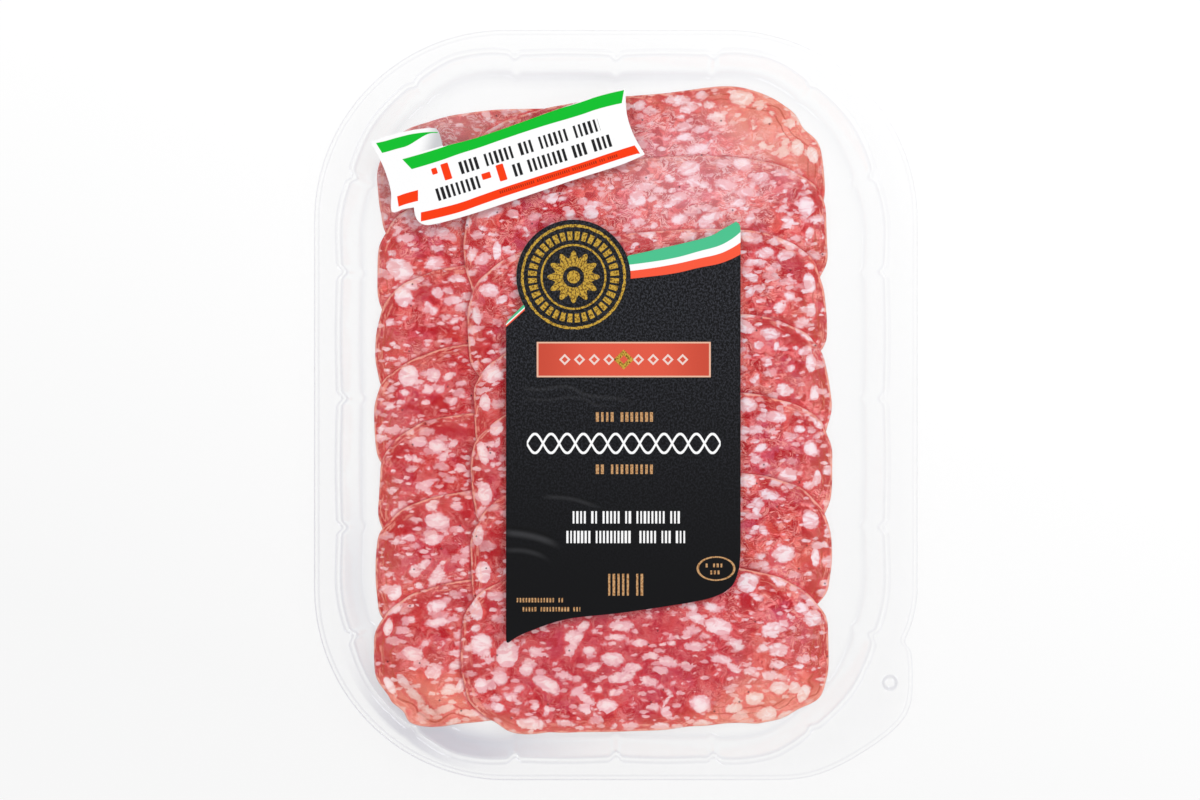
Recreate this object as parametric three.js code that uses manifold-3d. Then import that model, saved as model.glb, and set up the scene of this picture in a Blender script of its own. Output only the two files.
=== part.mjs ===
// Sliced salami in a shallow clear tray with a clear lid film and two stickers.
// Millimetres, +Z up, the pack lies flat on its tray; +Y is the long way of the pack.
// The origin is the middle of the underside's bounding box.
import * as THREE from 'three';
import Module from 'manifold-3d';

// ---- driving dimensions -------------------------------------------------
const FLANGE_HALF_W = 86.1; // half width of the flange outline
const FLANGE_HALF_L = 107.0; // half length of the flange outline
const FLANGE_R = 54.5; // corner radius of the flange outline
const FLANGE_Z = 10.2; // top face of the flange
const FLANGE_STEP = 0.45; // how far the outermost strip of the flange is stepped down
const FLANGE_STEP_W = 1.5; // width of that strip
const SHELL = 0.4; // sheet thickness of the tray
const MOUTH_X = -0.9; // middle of the cavity mouth
const MOUTH_Y = -0.3;
const MOUTH_HALF_W = 77.1;
const MOUTH_HALF_L = 99.6;
const MOUTH_R = 52.0;
const RIB_HALF = 2.3; // half width of a rib in the wall
const RIB_DEPTH = 1.5; // how far a rib stands into the cavity at the mouth
const PANEL_BULGE = 0.35; // how far a wall panel bows out between two ribs
const DIMPLE = [78.1, -79.2]; // round dimple in the peel corner
const DIMPLE_R = 1.9;
const FILM_GAP = 0.03;
const FILM_T = 0.12;
const FILM_INSET = 0.4;
const LABEL_GAP = 0.02;
const LABEL_T = 0.15;
const SLICE_T = 1.4; // thickness of a slice
const SLICE_GAP = 0.03; // air left under a slice
const CELLS_U = 14; // grid cells across a slice
const CELLS_V = 7;

// Wall section at a station: distance inwards from the mouth, height, share of the rib's depth.
const WALL = [
  [0.0, FLANGE_Z, 1.0],
  [0.3, FLANGE_Z - 0.6, 1.0],
  [4.2, 1.3, 0.7],
  [5.2, SHELL, 0.5],
];
// How far the mouth's corner stands outside its round arc, by the angle in degrees from the short axis.
const CORNER_SWELL = [[0, 0], [20, 0.2], [37, 1.5], [54.5, 2.2], [68, 2.7], [80, 1.5], [90, 0.2]];
const FLOOR_INSET = 9.0; // where the ribs have died out on the floor

// ---- small helpers -------------------------------------------------------
const rad = (deg) => (deg * Math.PI) / 180;

// Point and outward normal of a rounded rectangle at arc length s, anticlockwise from its right side.
function roundedRect(s, hw, hl, r) {
  const sx = hw - r;
  const sy = hl - r;
  const arc = (Math.PI / 2) * r;
  const parts = [
    [2 * sy, (t) => [hw, -sy + t, 1, 0]],
    [arc, (t) => corner(sx, sy, r, t / r)],
    [2 * sx, (t) => [sx - t, hl, 0, 1]],
    [arc, (t) => corner(-sx, sy, r, Math.PI / 2 + t / r)],
    [2 * sy, (t) => [-hw, sy - t, -1, 0]],
    [arc, (t) => corner(-sx, -sy, r, Math.PI + t / r)],
    [2 * sx, (t) => [-sx + t, -hl, 0, -1]],
    [arc, (t) => corner(sx, -sy, r, 1.5 * Math.PI + t / r)],
  ];
  const total = parts.reduce((sum, p) => sum + p[0], 0);
  let rest = ((s % total) + total) % total;
  for (const [length, at] of parts) {
    if (rest <= length) return at(rest);
    rest -= length;
  }
  return parts[0][1](0);
}

function corner(cx, cy, r, a) {
  const c = Math.cos(a);
  const d = Math.sin(a);
  return [cx + r * c, cy + r * d, c, d];
}

const perimeter = (hw, hl, r) => 4 * (hw - r) + 4 * (hl - r) + 2 * Math.PI * r;

// ---- outline of the flange, with the peel corner at the lower right -------
const PEEL_CORNER = [
  [40, -107], [50, -106.8], [57, -105.6], [63.5, -103], [69.5, -99.7], [75.6, -95.6],
  [80.4, -91.6], [83.3, -87.6], [84.5, -83], [84.7, -77.5], [84.5, -72.4], [84.0, -69.9],
  [82.8, -68.4], [82.5, -67], [83.1, -65.6], [84.1, -63.2], [85.2, -59.4], [86.0, -54.5],
];

function flangeOutline() {
  const points = [];
  const sx = FLANGE_HALF_W - FLANGE_R;
  const sy = FLANGE_HALF_L - FLANGE_R;
  for (const [kx, ky, a0] of [[1, 1, 0], [-1, 1, 90], [-1, -1, 180]]) {
    for (let i = 0; i <= 18; i += 1) {
      const a = rad(a0 + i * 5);
      points.push([kx * sx + FLANGE_R * Math.cos(a), ky * sy + FLANGE_R * Math.sin(a)]);
    }
  }
  return points.concat(PEEL_CORNER);
}

const OUTLINE = flangeOutline();

// Where a ray from (x, y) along (nx, ny) leaves the outline.
function toOutline(x, y, nx, ny) {
  let best = Infinity;
  OUTLINE.forEach(([ax, ay], i) => {
    const [bx, by] = OUTLINE[(i + 1) % OUTLINE.length];
    const ex = bx - ax;
    const ey = by - ay;
    const det = ex * ny - ey * nx;
    if (Math.abs(det) < 1e-9) return;
    const t = (ex * (ay - y) - ey * (ax - x)) / det;
    const u = (nx * (ay - y) - ny * (ax - x)) / det;
    if (t > 0 && u >= -1e-9 && u <= 1 + 1e-9) best = Math.min(best, t);
  });
  return best;
}

// ---- stations round the cavity mouth --------------------------------------
// Ribs by their place in the mouth's own frame and their depth: three on each side, two on each corner.
const RIBS = [];
for (const y of [38.3, 2.2, -34.6]) {
  RIBS.push([MOUTH_HALF_W, y, RIB_DEPTH], [-MOUTH_HALF_W, y, RIB_DEPTH]);
}
for (const x of [-28.0, 0.9, 28.8]) {
  RIBS.push([x, MOUTH_HALF_L, RIB_DEPTH], [x, -MOUTH_HALF_L, RIB_DEPTH]);
}
for (const kx of [1, -1]) {
  for (const ky of [1, -1]) {
    for (const [a, depth] of [[20, RIB_DEPTH], [54.5, 0.9]]) {
      const cx = kx * (MOUTH_HALF_W - MOUTH_R);
      const cy = ky * (MOUTH_HALF_L - MOUTH_R);
      const x = cx + kx * MOUTH_R * Math.cos(rad(a));
      RIBS.push([x, cy + ky * MOUTH_R * Math.sin(rad(a)), depth]);
    }
  }
}

// How far the mouth stands outside its round corner at a station with this normal.
function swell(nx, ny) {
  const a = (Math.atan2(Math.abs(ny), Math.abs(nx)) * 180) / Math.PI;
  const k = CORNER_SWELL.findIndex(([angle]) => angle >= a - 1e-9);
  if (k < 1) return CORNER_SWELL[0][1];
  const [a0, v0] = CORNER_SWELL[k - 1];
  const [a1, v1] = CORNER_SWELL[k];
  return v0 + ((v1 - v0) * (a - a0)) / (a1 - a0);
}

function mouthStations() {
  const total = perimeter(MOUTH_HALF_W, MOUTH_HALF_L, MOUTH_R);
  const at = (s) => roundedRect(s, MOUTH_HALF_W, MOUTH_HALF_L, MOUTH_R);
  const ribs = RIBS.map(([x, y, depth]) => {
    let best = [Infinity, 0];
    for (let s = 0; s < total; s += 0.1) {
      const p = at(s);
      const d = Math.hypot(p[0] - x, p[1] - y);
      if (d < best[0]) best = [d, s];
    }
    return [best[1], depth];
  }).sort((a, b) => a[0] - b[0]);
  const stations = [];
  const add = (s, rib) => {
    const [x, y, nx, ny] = at(s);
    const out = swell(nx, ny);
    stations.push({ x: x + MOUTH_X + out * nx, y: y + MOUTH_Y + out * ny, nx, ny, rib });
  };
  ribs.forEach(([s, depth], i) => {
    for (const [k, share] of [[-1, 0], [-0.45, 0.6], [0, 1], [0.45, 0.6], [1, 0]]) {
      add(s + k * RIB_HALF, share * depth);
    }
    const next = i + 1 < ribs.length ? ribs[i + 1][0] : ribs[0][0] + total;
    const from = s + RIB_HALF;
    const span = next - RIB_HALF - from;
    const n = Math.max(2, Math.round(span / 7.5));
    for (let k = 1; k < n; k += 1) {
      add(from + (span * k) / n, -PANEL_BULGE * Math.sin((Math.PI * k) / n));
    }
  });
  return stations;
}

const STATIONS = mouthStations();

// ---- the tray -------------------------------------------------------------
// Section of the sheet at one station, as [inward distance, height] from the outer rim to the floor.
function section(station) {
  const reach = toOutline(station.x, station.y, station.nx, station.ny);
  const top = [
    [-reach, FLANGE_Z - FLANGE_STEP],
    [-reach + FLANGE_STEP_W - 0.4, FLANGE_Z - FLANGE_STEP],
    [-reach + FLANGE_STEP_W, FLANGE_Z],
  ];
  for (const [d, z, share] of WALL) top.push([d + station.rib * share, z]);
  top.push([FLOOR_INSET, SHELL]);
  return top;
}

// The same section moved by the sheet's thickness to its outer side.
function offsetSection(line, t) {
  return line.map(([d, z], i) => {
    const dirs = [];
    if (i > 0) dirs.push([d - line[i - 1][0], z - line[i - 1][1]]);
    if (i + 1 < line.length) dirs.push([line[i + 1][0] - d, line[i + 1][1] - z]);
    const normals = dirs.map(([a, b]) => {
      const l = Math.hypot(a, b);
      return [b / l, -a / l];
    });
    if (i === 0 || i === line.length - 1) return [d, z - t];
    const nx = normals[0][0] + normals[1][0];
    const nz = normals[0][1] + normals[1][1];
    const k = t / (1 + normals[0][0] * normals[1][0] + normals[0][1] * normals[1][1]);
    return [d + nx * k, z + nz * k];
  });
}

const place = (station, [d, z]) => [station.x - station.nx * d, station.y - station.ny * d, z];

const INSIDE = STATIONS.map((st) => section(st).map((p) => place(st, p)));
const OUTSIDE = STATIONS.map((st) => offsetSection(section(st), SHELL).map((p) => place(st, p)));

// Triangles of a ring of columns: columns[i][j], closed in i.
function ringTriangles(columns, flip) {
  const out = [];
  const n = columns.length;
  for (let i = 0; i < n; i += 1) {
    const a = columns[i];
    const b = columns[(i + 1) % n];
    for (let j = 0; j + 1 < a.length; j += 1) {
      const quad = [a[j], b[j], b[j + 1], a[j + 1]];
      const tris = [[quad[0], quad[1], quad[2]], [quad[0], quad[2], quad[3]]];
      for (const tri of tris) out.push(flip ? [tri[0], tri[2], tri[1]] : tri);
    }
  }
  return out;
}

// A flat cap over the last point of every column.
function capTriangles(columns, flip) {
  const loop = columns.map((c) => c[c.length - 1]);
  const flat = loop.map((p) => new THREE.Vector2(p[0], p[1]));
  return THREE.ShapeUtils.triangulateShape(flat, []).map(([a, b, c]) => {
    const tri = [loop[a], loop[b], loop[c]];
    const up = (tri[1][0] - tri[0][0]) * (tri[2][1] - tri[0][1])
      - (tri[1][1] - tri[0][1]) * (tri[2][0] - tri[0][0]) > 0;
    return up === !flip ? tri : [tri[0], tri[2], tri[1]];
  });
}

function geometryOf(triangles) {
  const g = new THREE.BufferGeometry();
  g.setAttribute('position', new THREE.BufferAttribute(new Float32Array(triangles.flat(2)), 3));
  return g;
}

const TRAY_INSIDE = ringTriangles(INSIDE, false).concat(capTriangles(INSIDE, false));

function trayShell() {
  const rim = ringTriangles(INSIDE.map((c, i) => [OUTSIDE[i][0], c[0]]), false);
  const under = ringTriangles(OUTSIDE, true).concat(capTriangles(OUTSIDE, true));
  return geometryOf(TRAY_INSIDE.concat(rim, under));
}

// ---- boolean joins and cuts -------------------------------------------------
const wasm = await Module();
wasm.setup();

function toSolid(geometry) {
  const points = geometry.getAttribute('position').array;
  const keys = new Map();
  const verts = [];
  const tris = [];
  for (let i = 0; i < points.length; i += 3) {
    const p = [points[i], points[i + 1], points[i + 2]];
    const key = p.map((c) => c.toFixed(4)).join(' ');
    if (!keys.has(key)) {
      keys.set(key, verts.length / 3);
      verts.push(...p);
    }
    tris.push(keys.get(key));
  }
  return new wasm.Manifold(new wasm.Mesh({
    numProp: 3,
    vertProperties: new Float32Array(verts),
    triVerts: new Uint32Array(tris),
  }));
}

function fromSolid(solid) {
  const mesh = solid.getMesh();
  const g = new THREE.BufferGeometry();
  const verts = new Float32Array(mesh.numVert * 3);
  for (let i = 0; i < mesh.numVert; i += 1) {
    verts.set(mesh.vertProperties.subarray(i * mesh.numProp, i * mesh.numProp + 3), i * 3);
  }
  g.setAttribute('position', new THREE.BufferAttribute(verts, 3));
  g.setIndex(new THREE.BufferAttribute(mesh.triVerts, 1));
  return g;
}

// The tray with the small round cup pressed down into its peel corner.
function trayGeometry() {
  const [x, y] = DIMPLE;
  const depth = 1.1;
  const cone = (z0, z1, r0, r1) => wasm.Manifold.cylinder(z1 - z0, r0, r1, 20, false)
    .translate([x, y, z0]);
  const under = FLANGE_Z - SHELL;
  const cup = cone(under - depth, FLANGE_Z - 0.1, DIMPLE_R * 0.7 + 0.3, DIMPLE_R + 0.4);
  const hollow = cone(FLANGE_Z - depth, FLANGE_Z + 0.5, DIMPLE_R * 0.7, DIMPLE_R + 0.25);
  return fromSolid(toSolid(trayShell()).add(cup).subtract(hollow));
}

// ---- height field that each slice is draped over ----------------------------
const CELL = 0.5;
const GRID_X0 = -90;
const GRID_Y0 = -110;
const GRID_NX = 360;
const GRID_NY = 440;
const heights = new Float64Array(GRID_NX * GRID_NY).fill(-1);

// Calls visit(index, height) on each cell whose middle is inside a triangle or close to it.
function eachCell(tri, margin, visit) {
  const [a, b, c] = tri;
  const det = (b[0] - a[0]) * (c[1] - a[1]) - (c[0] - a[0]) * (b[1] - a[1]);
  if (Math.abs(det) < 1e-6) return;
  const xs = tri.map((p) => p[0]);
  const ys = tri.map((p) => p[1]);
  const lo = (v, o) => Math.floor((v - margin - o) / CELL);
  const hi = (v, o) => Math.ceil((v + margin - o) / CELL);
  const size = Math.sqrt(Math.abs(det));
  const slack = margin / size;
  for (let j = lo(Math.min(...ys), GRID_Y0); j <= hi(Math.max(...ys), GRID_Y0); j += 1) {
    for (let i = lo(Math.min(...xs), GRID_X0); i <= hi(Math.max(...xs), GRID_X0); i += 1) {
      const x = GRID_X0 + (i + 0.5) * CELL - a[0];
      const y = GRID_Y0 + (j + 0.5) * CELL - a[1];
      const u = (x * (c[1] - a[1]) - (c[0] - a[0]) * y) / det;
      const v = ((b[0] - a[0]) * y - x * (b[1] - a[1])) / det;
      const inside = u >= -slack && v >= -slack && u + v <= 1 + slack;
      if (inside && i >= 0 && j >= 0 && i < GRID_NX && j < GRID_NY) {
        const w = Math.min(1, Math.max(0, u));
        const q = Math.min(1 - w, Math.max(0, v));
        visit(j * GRID_NX + i, a[2] + w * (b[2] - a[2]) + q * (c[2] - a[2]));
      }
    }
  }
}

const raise = (triangles, margin) => triangles.forEach((tri) => eachCell(tri, margin, (k, z) => {
  heights[k] = Math.max(heights[k], z);
}));

raise(TRAY_INSIDE, 0.36);

// ---- the slices ----------------------------------------------------------------
// cx, cy, half width, half height, turn in degrees, and the squareness of the corners
// (upper right, upper left, lower left, lower right) of each slice, bottom slice first.
const LEFT_SLICES = [
  [-16.1, 61.2, 52.3, 24.4, 1.0, 3.0, 3.1, 3.0, 3.0],
  [-16.7, 38.0, 52.1, 24.5, 0.5, 3.0, 3.0, 3.1, 3.0],
  [-16.9, 16.3, 52.2, 24.5, -1.5, 3.0, 2.9, 3.0, 3.0],
  [-16.7, -5.3, 52.4, 24.6, 1.5, 3.0, 3.0, 2.9, 3.0],
  [-16.4, -26.4, 52.1, 24.5, -1.5, 3.0, 2.9, 3.0, 3.0],
  [-17.2, -48.2, 52.4, 24.5, 0.0, 3.0, 3.0, 3.1, 3.0],
  [-17.2, -71.4, 51.9, 22.2, 0.0, 3.0, 2.9, 2.45, 3.0],
];
const RIGHT_SLICES = [
  [8.7, 63.3, 51.5, 25.2, 4.0, 2.9, 3.1, 3.0, 3.0],
  [8.6, 46.1, 52.2, 24.6, 4.5, 2.9, 3.0, 3.0, 3.1],
  [8.9, 24.8, 51.6, 24.5, 5.0, 3.0, 3.0, 3.0, 3.1],
  [10.6, -0.2, 51.3, 24.6, 6.0, 3.0, 3.0, 3.0, 3.1],
  [10.6, -20.7, 51.9, 24.5, 2.0, 3.0, 3.0, 3.0, 3.1],
  [9.8, -43.8, 51.9, 24.5, 2.3, 3.1, 2.9, 3.0, 3.1],
  [8.4, -69.9, 52.9, 24.4, 0.5, 2.8, 3.1, 3.6, 3.3],
];

// Point of a slice's outline in direction a, before its turn and place.
function rim(slice, a, phase) {
  const [, , hw, hh, , upRight, upLeft, downLeft, downRight] = slice;
  const c = Math.cos(a);
  const s = Math.sin(a);
  const power = c >= 0 ? (s >= 0 ? upRight : downRight) : (s >= 0 ? upLeft : downLeft);
  const wave = 1 + 0.006 * Math.sin(3 * a + phase) + 0.004 * Math.sin(5 * a + 2.3 * phase);
  return [
    hw * wave * Math.sign(c) * Math.abs(c) ** (2 / power),
    hh * wave * Math.sign(s) * Math.abs(s) ** (2 / power),
  ];
}

// The grid of a slice seen from above: a square grid bent to a disc and then to the outline.
function sliceGrid(slice, phase) {
  const [cx, cy, , , turn] = slice;
  const rows = [];
  for (let j = 0; j <= CELLS_V; j += 1) {
    const row = [];
    for (let i = 0; i <= CELLS_U; i += 1) {
      const u = (2 * i) / CELLS_U - 1;
      const v = (2 * j) / CELLS_V - 1;
      const dx = u * Math.sqrt(1 - (v * v) / 2);
      const dy = v * Math.sqrt(1 - (u * u) / 2);
      const [px, py] = rim(slice, Math.atan2(dy, dx), phase);
      const r = Math.hypot(dx, dy);
      const c = Math.cos(rad(turn));
      const s = Math.sin(rad(turn));
      row.push([cx + r * (px * c - py * s), cy + r * (px * s + py * c), 0]);
    }
    rows.push(row);
  }
  return rows;
}

function sliceGeometry(slice, index) {
  const under = sliceGrid(slice, 1.7 * index);
  const cells = [];
  for (let j = 0; j < CELLS_V; j += 1) {
    for (let i = 0; i < CELLS_U; i += 1) {
      const q = [under[j][i], under[j][i + 1], under[j + 1][i + 1], under[j + 1][i]];
      // The diagonal is the shorter one, so no sliver stands at the four corners of the grid.
      const ac = Math.hypot(q[0][0] - q[2][0], q[0][1] - q[2][1]);
      const bd = Math.hypot(q[1][0] - q[3][0], q[1][1] - q[3][1]);
      if (ac < bd) cells.push([q[0], q[1], q[2]], [q[0], q[2], q[3]]);
      else cells.push([q[0], q[1], q[3]], [q[1], q[2], q[3]]);
    }
  }
  for (const tri of cells) {
    let top = -1;
    eachCell(tri.map((p) => [p[0], p[1], 0]), 0.36, (k) => {
      top = Math.max(top, heights[k]);
    });
    for (const p of tri) p[2] = Math.max(p[2], top + SLICE_GAP);
  }
  const above = new Map();
  for (const p of under.flat()) above.set(p, [p[0], p[1], p[2] + SLICE_T]);
  const upper = cells.map((tri) => tri.map((p) => above.get(p)));
  raise(upper, 0.36);
  const border = [];
  for (let i = 0; i < CELLS_U; i += 1) border.push(under[0][i]);
  for (let j = 0; j < CELLS_V; j += 1) border.push(under[j][CELLS_U]);
  for (let i = CELLS_U; i > 0; i -= 1) border.push(under[CELLS_V][i]);
  for (let j = CELLS_V; j > 0; j -= 1) border.push(under[j][0]);
  const side = [];
  border.forEach((p, i) => {
    const q = border[(i + 1) % border.length];
    side.push([p, q, above.get(q)], [p, above.get(q), above.get(p)]);
  });
  const lower = cells.map(([a, b, c]) => [a, c, b]);
  return geometryOf(upper.concat(lower, side));
}

// ---- film and stickers ----------------------------------------------------------
function plate(points, z, thickness) {
  const shape = new THREE.Shape(points.map(([x, y]) => new THREE.Vector2(x, y)));
  const g = new THREE.ExtrudeGeometry(shape, { depth: thickness, bevelEnabled: false });
  return g.translate(0, 0, z);
}

// Every outline point moved inwards by a small distance, thinned where the line is straight.
function filmOutline() {
  const n = OUTLINE.length;
  return OUTLINE.map(([x, y], i) => {
    const [ax, ay] = OUTLINE[(i + n - 1) % n];
    const [bx, by] = OUTLINE[(i + 1) % n];
    const l = Math.hypot(bx - ax, by - ay);
    return [x - ((by - ay) / l) * FILM_INSET, y + ((bx - ax) / l) * FILM_INSET];
  });
}

// Main sticker: a rounded body with a wavy top and foot, and a round seal on its upper left corner.
const SEAL = [-12.1, 36.5];
const SEAL_R = 16.3;

function mainSticker() {
  const points = [];
  const curve = (...rest) => {
    const line = new THREE.SplineCurve(rest.map(([x, y]) => new THREE.Vector2(x, y)));
    for (const p of line.getPoints(7)) points.push([p.x, p.y]);
  };
  // Foot, from its lowest left tip to the rounded lower right corner.
  curve([-30.6, -67.7], [-26.2, -65.1], [-14.5, -61.1], [0, -59.4], [13.4, -57.5],
    [26.6, -55.1], [33.0, -51.6], [35.2, -46.0]);
  points.push([35.5, -42], [35.5, 49.4], [35.0, 51.5]);
  // Top wave, from the upper right corner down to the seal.
  curve([34.2, 52.4], [30.5, 50.2], [25.4, 47.7], [10.0, 44.0], [3.6, 42.6]);
  // Round the seal to the left side.
  const from = Math.atan2(42.2 - SEAL[1], 3.3 - SEAL[0]);
  const to = Math.atan2(28.6 - SEAL[1], -26.3 - SEAL[0]) + 2 * Math.PI;
  for (let i = 0; i <= 22; i += 1) {
    const a = from + ((to - from) * i) / 22;
    points.push([SEAL[0] + SEAL_R * Math.cos(a), SEAL[1] + SEAL_R * Math.sin(a)]);
  }
  points.push([-31.3, 23.4], [-31.35, -66.8]);
  return points;
}

// Slanted ribbon sticker at the upper left, with a folded tail behind its left end.
function bannerSticker() {
  const px = [
    [370, 142], [392, 134.5], [414, 130], [432.6, 128], [438, 130.5], [440.5, 137], [443, 146.5],
    [475, 138.5], [520, 123], [560, 108.5], [600, 95.5], [625.8, 89], [625.9, 104], [628, 119],
    [634.7, 137], [644.7, 154], [620, 165.5], [580, 178], [530, 195], [480, 211.5], [450, 220.5],
    [432, 224.8], [424, 224.6], [418, 221], [415, 214.5], [414, 207.5], [403, 209.3],
    [391.8, 211.6], [391.8, 193], [387, 176], [379.5, 158.5],
  ];
  return px.map(([x, y]) => [(x - 616) * 0.285, (405 - y) * 0.285]).reverse();
}

// ---- the pack ------------------------------------------------------------------
const material = (color, opacity) => new THREE.MeshStandardMaterial({
  color,
  roughness: 0.3,
  transparent: opacity < 1,
  opacity,
});
const PLASTIC = material(0xe9edf0, 0.35);
const MEAT = material(0xc0504c, 1);
const BLACK = material(0x1b1b1d, 1);
const WHITE = material(0xf4f4f2, 1);

const named = (name, geometry, look) => {
  const mesh = new THREE.Mesh(geometry, look);
  mesh.name = name;
  return mesh;
};

const group = new THREE.Group();
group.add(named('tray', trayGeometry(), PLASTIC));
LEFT_SLICES.forEach((slice, i) => {
  group.add(named(`salami_left_${i + 1}`, sliceGeometry(slice, i), MEAT));
});
RIGHT_SLICES.forEach((slice, i) => {
  group.add(named(`salami_right_${i + 1}`, sliceGeometry(slice, i + 7), MEAT));
});
const filmZ = FLANGE_Z + FILM_GAP;
const labelZ = filmZ + FILM_T + LABEL_GAP;
group.add(named('lid_film', plate(filmOutline(), filmZ, FILM_T), PLASTIC));
group.add(named('label_main', plate(mainSticker(), labelZ, LABEL_T), BLACK));
group.add(named('label_banner', plate(bannerSticker(), labelZ, LABEL_T), WHITE));

export default group;
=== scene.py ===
import math
from typing import NamedTuple

import bmesh
import bpy
import numpy as np
from bpy.props import FloatProperty, FloatVectorProperty, IntProperty, PointerProperty
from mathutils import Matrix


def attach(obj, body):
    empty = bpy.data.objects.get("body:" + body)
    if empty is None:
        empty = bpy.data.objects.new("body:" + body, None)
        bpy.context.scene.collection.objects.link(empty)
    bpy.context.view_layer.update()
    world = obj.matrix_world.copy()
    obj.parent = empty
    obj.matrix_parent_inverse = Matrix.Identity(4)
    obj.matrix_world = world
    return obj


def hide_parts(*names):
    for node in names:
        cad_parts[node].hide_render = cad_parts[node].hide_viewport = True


# Looks of a pack of sliced salami: a clear formed tray under a clear lid film, two shingled rows
# of marbled slices inside, and two die-cut stickers on the film. Sizes in this file are in
# millimetres unless a property says otherwise, and MM turns them into metres.

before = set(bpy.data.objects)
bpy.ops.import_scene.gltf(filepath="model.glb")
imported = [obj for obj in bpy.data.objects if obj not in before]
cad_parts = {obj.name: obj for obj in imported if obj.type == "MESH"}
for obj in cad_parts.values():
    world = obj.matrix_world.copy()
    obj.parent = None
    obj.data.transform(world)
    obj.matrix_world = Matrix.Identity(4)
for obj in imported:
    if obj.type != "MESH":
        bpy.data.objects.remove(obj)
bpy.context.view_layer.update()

bl_info = {
    "name": "Sliced Salami Pack",
    "version": (1, 0, 0),
    "blender": (4, 5, 0),
    "location": "3D View > Sidebar > Salami Pack",
    "description": "Builds the looks of a clear tray of sliced salami with two stickers",
    "category": "Object",
}

MM = 0.001

# ---- sizes shared with the solids -------------------------------------------------------------

FLANGE_HALF_W, FLANGE_HALF_L, FLANGE_R = 86.1, 107.0, 54.5
FLANGE_Z, FLANGE_STEP = 10.2, 0.45
SHEET = 0.4
MOUTH_X, MOUTH_Y, MOUTH_HALF_W, MOUTH_HALF_L, MOUTH_R = -0.9, -0.3, 77.1, 99.6, 52.0
MOUTH_SIDE_X, MOUTH_SIDE_Y = MOUTH_HALF_W - MOUTH_R, MOUTH_HALF_L - MOUTH_R
MOUTH_ARC = math.pi / 2 * MOUTH_R
MOUTH_LENGTH = 4 * MOUTH_SIDE_X + 4 * MOUTH_SIDE_Y + 4 * MOUTH_ARC
RIB_HALF, RIB_DEPTH, PANEL_BULGE = 2.3, 1.5, 0.35
# Ribs: heights on the long sides, places on the ends, angle and depth in each corner.
SIDE_RIBS, END_RIBS = (38.3, 2.2, -34.6), (-28.0, 0.9, 28.8)
CORNER_RIBS = ((20, RIB_DEPTH), (54.5, 0.9))
RIB_STATIONS, PANEL_STEP, TRACK_STEP = 13, 2.2, 0.1
DIMPLE, DIMPLE_R, DIMPLE_DEPTH = (78.1, -79.2), 1.9, 1.0
FILM_Z, FILM_T, FILM_INSET = 10.23, 0.12, 0.4
STICKER_Z, STICKER_T = 10.37, 0.15
SLICE_T, SLICE_GAP = 1.4, 0.03
# How far a slice's top sinks towards its edge, and over what width.
EDGE_DROP, EDGE_WIDTH = 0.55, 2.4
CORNER_SWELL = [(0, 0), (20, 0.2), (37, 1.5), (54.5, 2.2), (68, 2.7), (80, 1.5), (90, 0.2)]
PEEL_CORNER = [
    (40, -107), (50, -106.8), (57, -105.6), (63.5, -103), (69.5, -99.7), (75.6, -95.6),
    (80.4, -91.6), (83.3, -87.6), (84.5, -83), (84.7, -77.5), (84.5, -72.4), (84.0, -69.9),
    (82.8, -68.4), (82.5, -67), (83.1, -65.6), (84.1, -63.2), (85.2, -59.4), (86.0, -54.5),
]


class Slice(NamedTuple):
    """A slice's outline: its middle, half sizes, turn in degrees and squareness of each corner."""

    x: float
    y: float
    half_width: float
    half_height: float
    turn: float
    upper_right: float
    upper_left: float
    lower_left: float
    lower_right: float


# The two rows, each with its lowest slice first.
LEFT_SLICES = [
    Slice(-16.1, 61.2, 52.3, 24.4, 1.0, 3.0, 3.1, 3.0, 3.0),
    Slice(-16.7, 38.0, 52.1, 24.5, 0.5, 3.0, 3.0, 3.1, 3.0),
    Slice(-16.9, 16.3, 52.2, 24.5, -1.5, 3.0, 2.9, 3.0, 3.0),
    Slice(-16.7, -5.3, 52.4, 24.6, 1.5, 3.0, 3.0, 2.9, 3.0),
    Slice(-16.4, -26.4, 52.1, 24.5, -1.5, 3.0, 2.9, 3.0, 3.0),
    Slice(-17.2, -48.2, 52.4, 24.5, 0.0, 3.0, 3.0, 3.1, 3.0),
    Slice(-17.2, -71.4, 51.9, 22.2, 0.0, 3.0, 2.9, 2.45, 3.0),
]
RIGHT_SLICES = [
    Slice(8.7, 63.3, 51.5, 25.2, 4.0, 2.9, 3.1, 3.0, 3.0),
    Slice(8.6, 46.1, 52.2, 24.6, 4.5, 2.9, 3.0, 3.0, 3.1),
    Slice(8.9, 24.8, 51.6, 24.5, 5.0, 3.0, 3.0, 3.0, 3.1),
    Slice(10.6, -0.2, 51.3, 24.6, 6.0, 3.0, 3.0, 3.0, 3.1),
    Slice(10.6, -20.7, 51.9, 24.5, 2.0, 3.0, 3.0, 3.0, 3.1),
    Slice(9.8, -43.8, 51.9, 24.5, 2.3, 3.1, 2.9, 3.0, 3.1),
    Slice(8.4, -69.9, 52.9, 24.4, 0.5, 2.8, 3.1, 3.6, 3.3),
]
# Bumps of an outline, for each slice by its place in SLICES: angle, share of the radius, width.
RIM_BUMPS = {
    6: [(229, 0.11, 12), (257, -0.11, 11), (238, 0.02, 4), (222, -0.014, 4), (212, 0.012, 4)],
    7: [(70, 0.095, 17), (24, -0.035, 11), (97, 0.02, 8)],
    13: [(243, 0.06, 13), (285, -0.07, 18), (318, -0.03, 9), (268, 0.02, 5),
         (252, -0.016, 3), (276, -0.014, 3), (297, 0.012, 3)],
}
PHASE_STEP = 1.7
SLICES = [("salami_left_%d" % (i + 1), s) for i, s in enumerate(LEFT_SLICES)] + [
    ("salami_right_%d" % (i + 1), s) for i, s in enumerate(RIGHT_SLICES)
]

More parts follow.
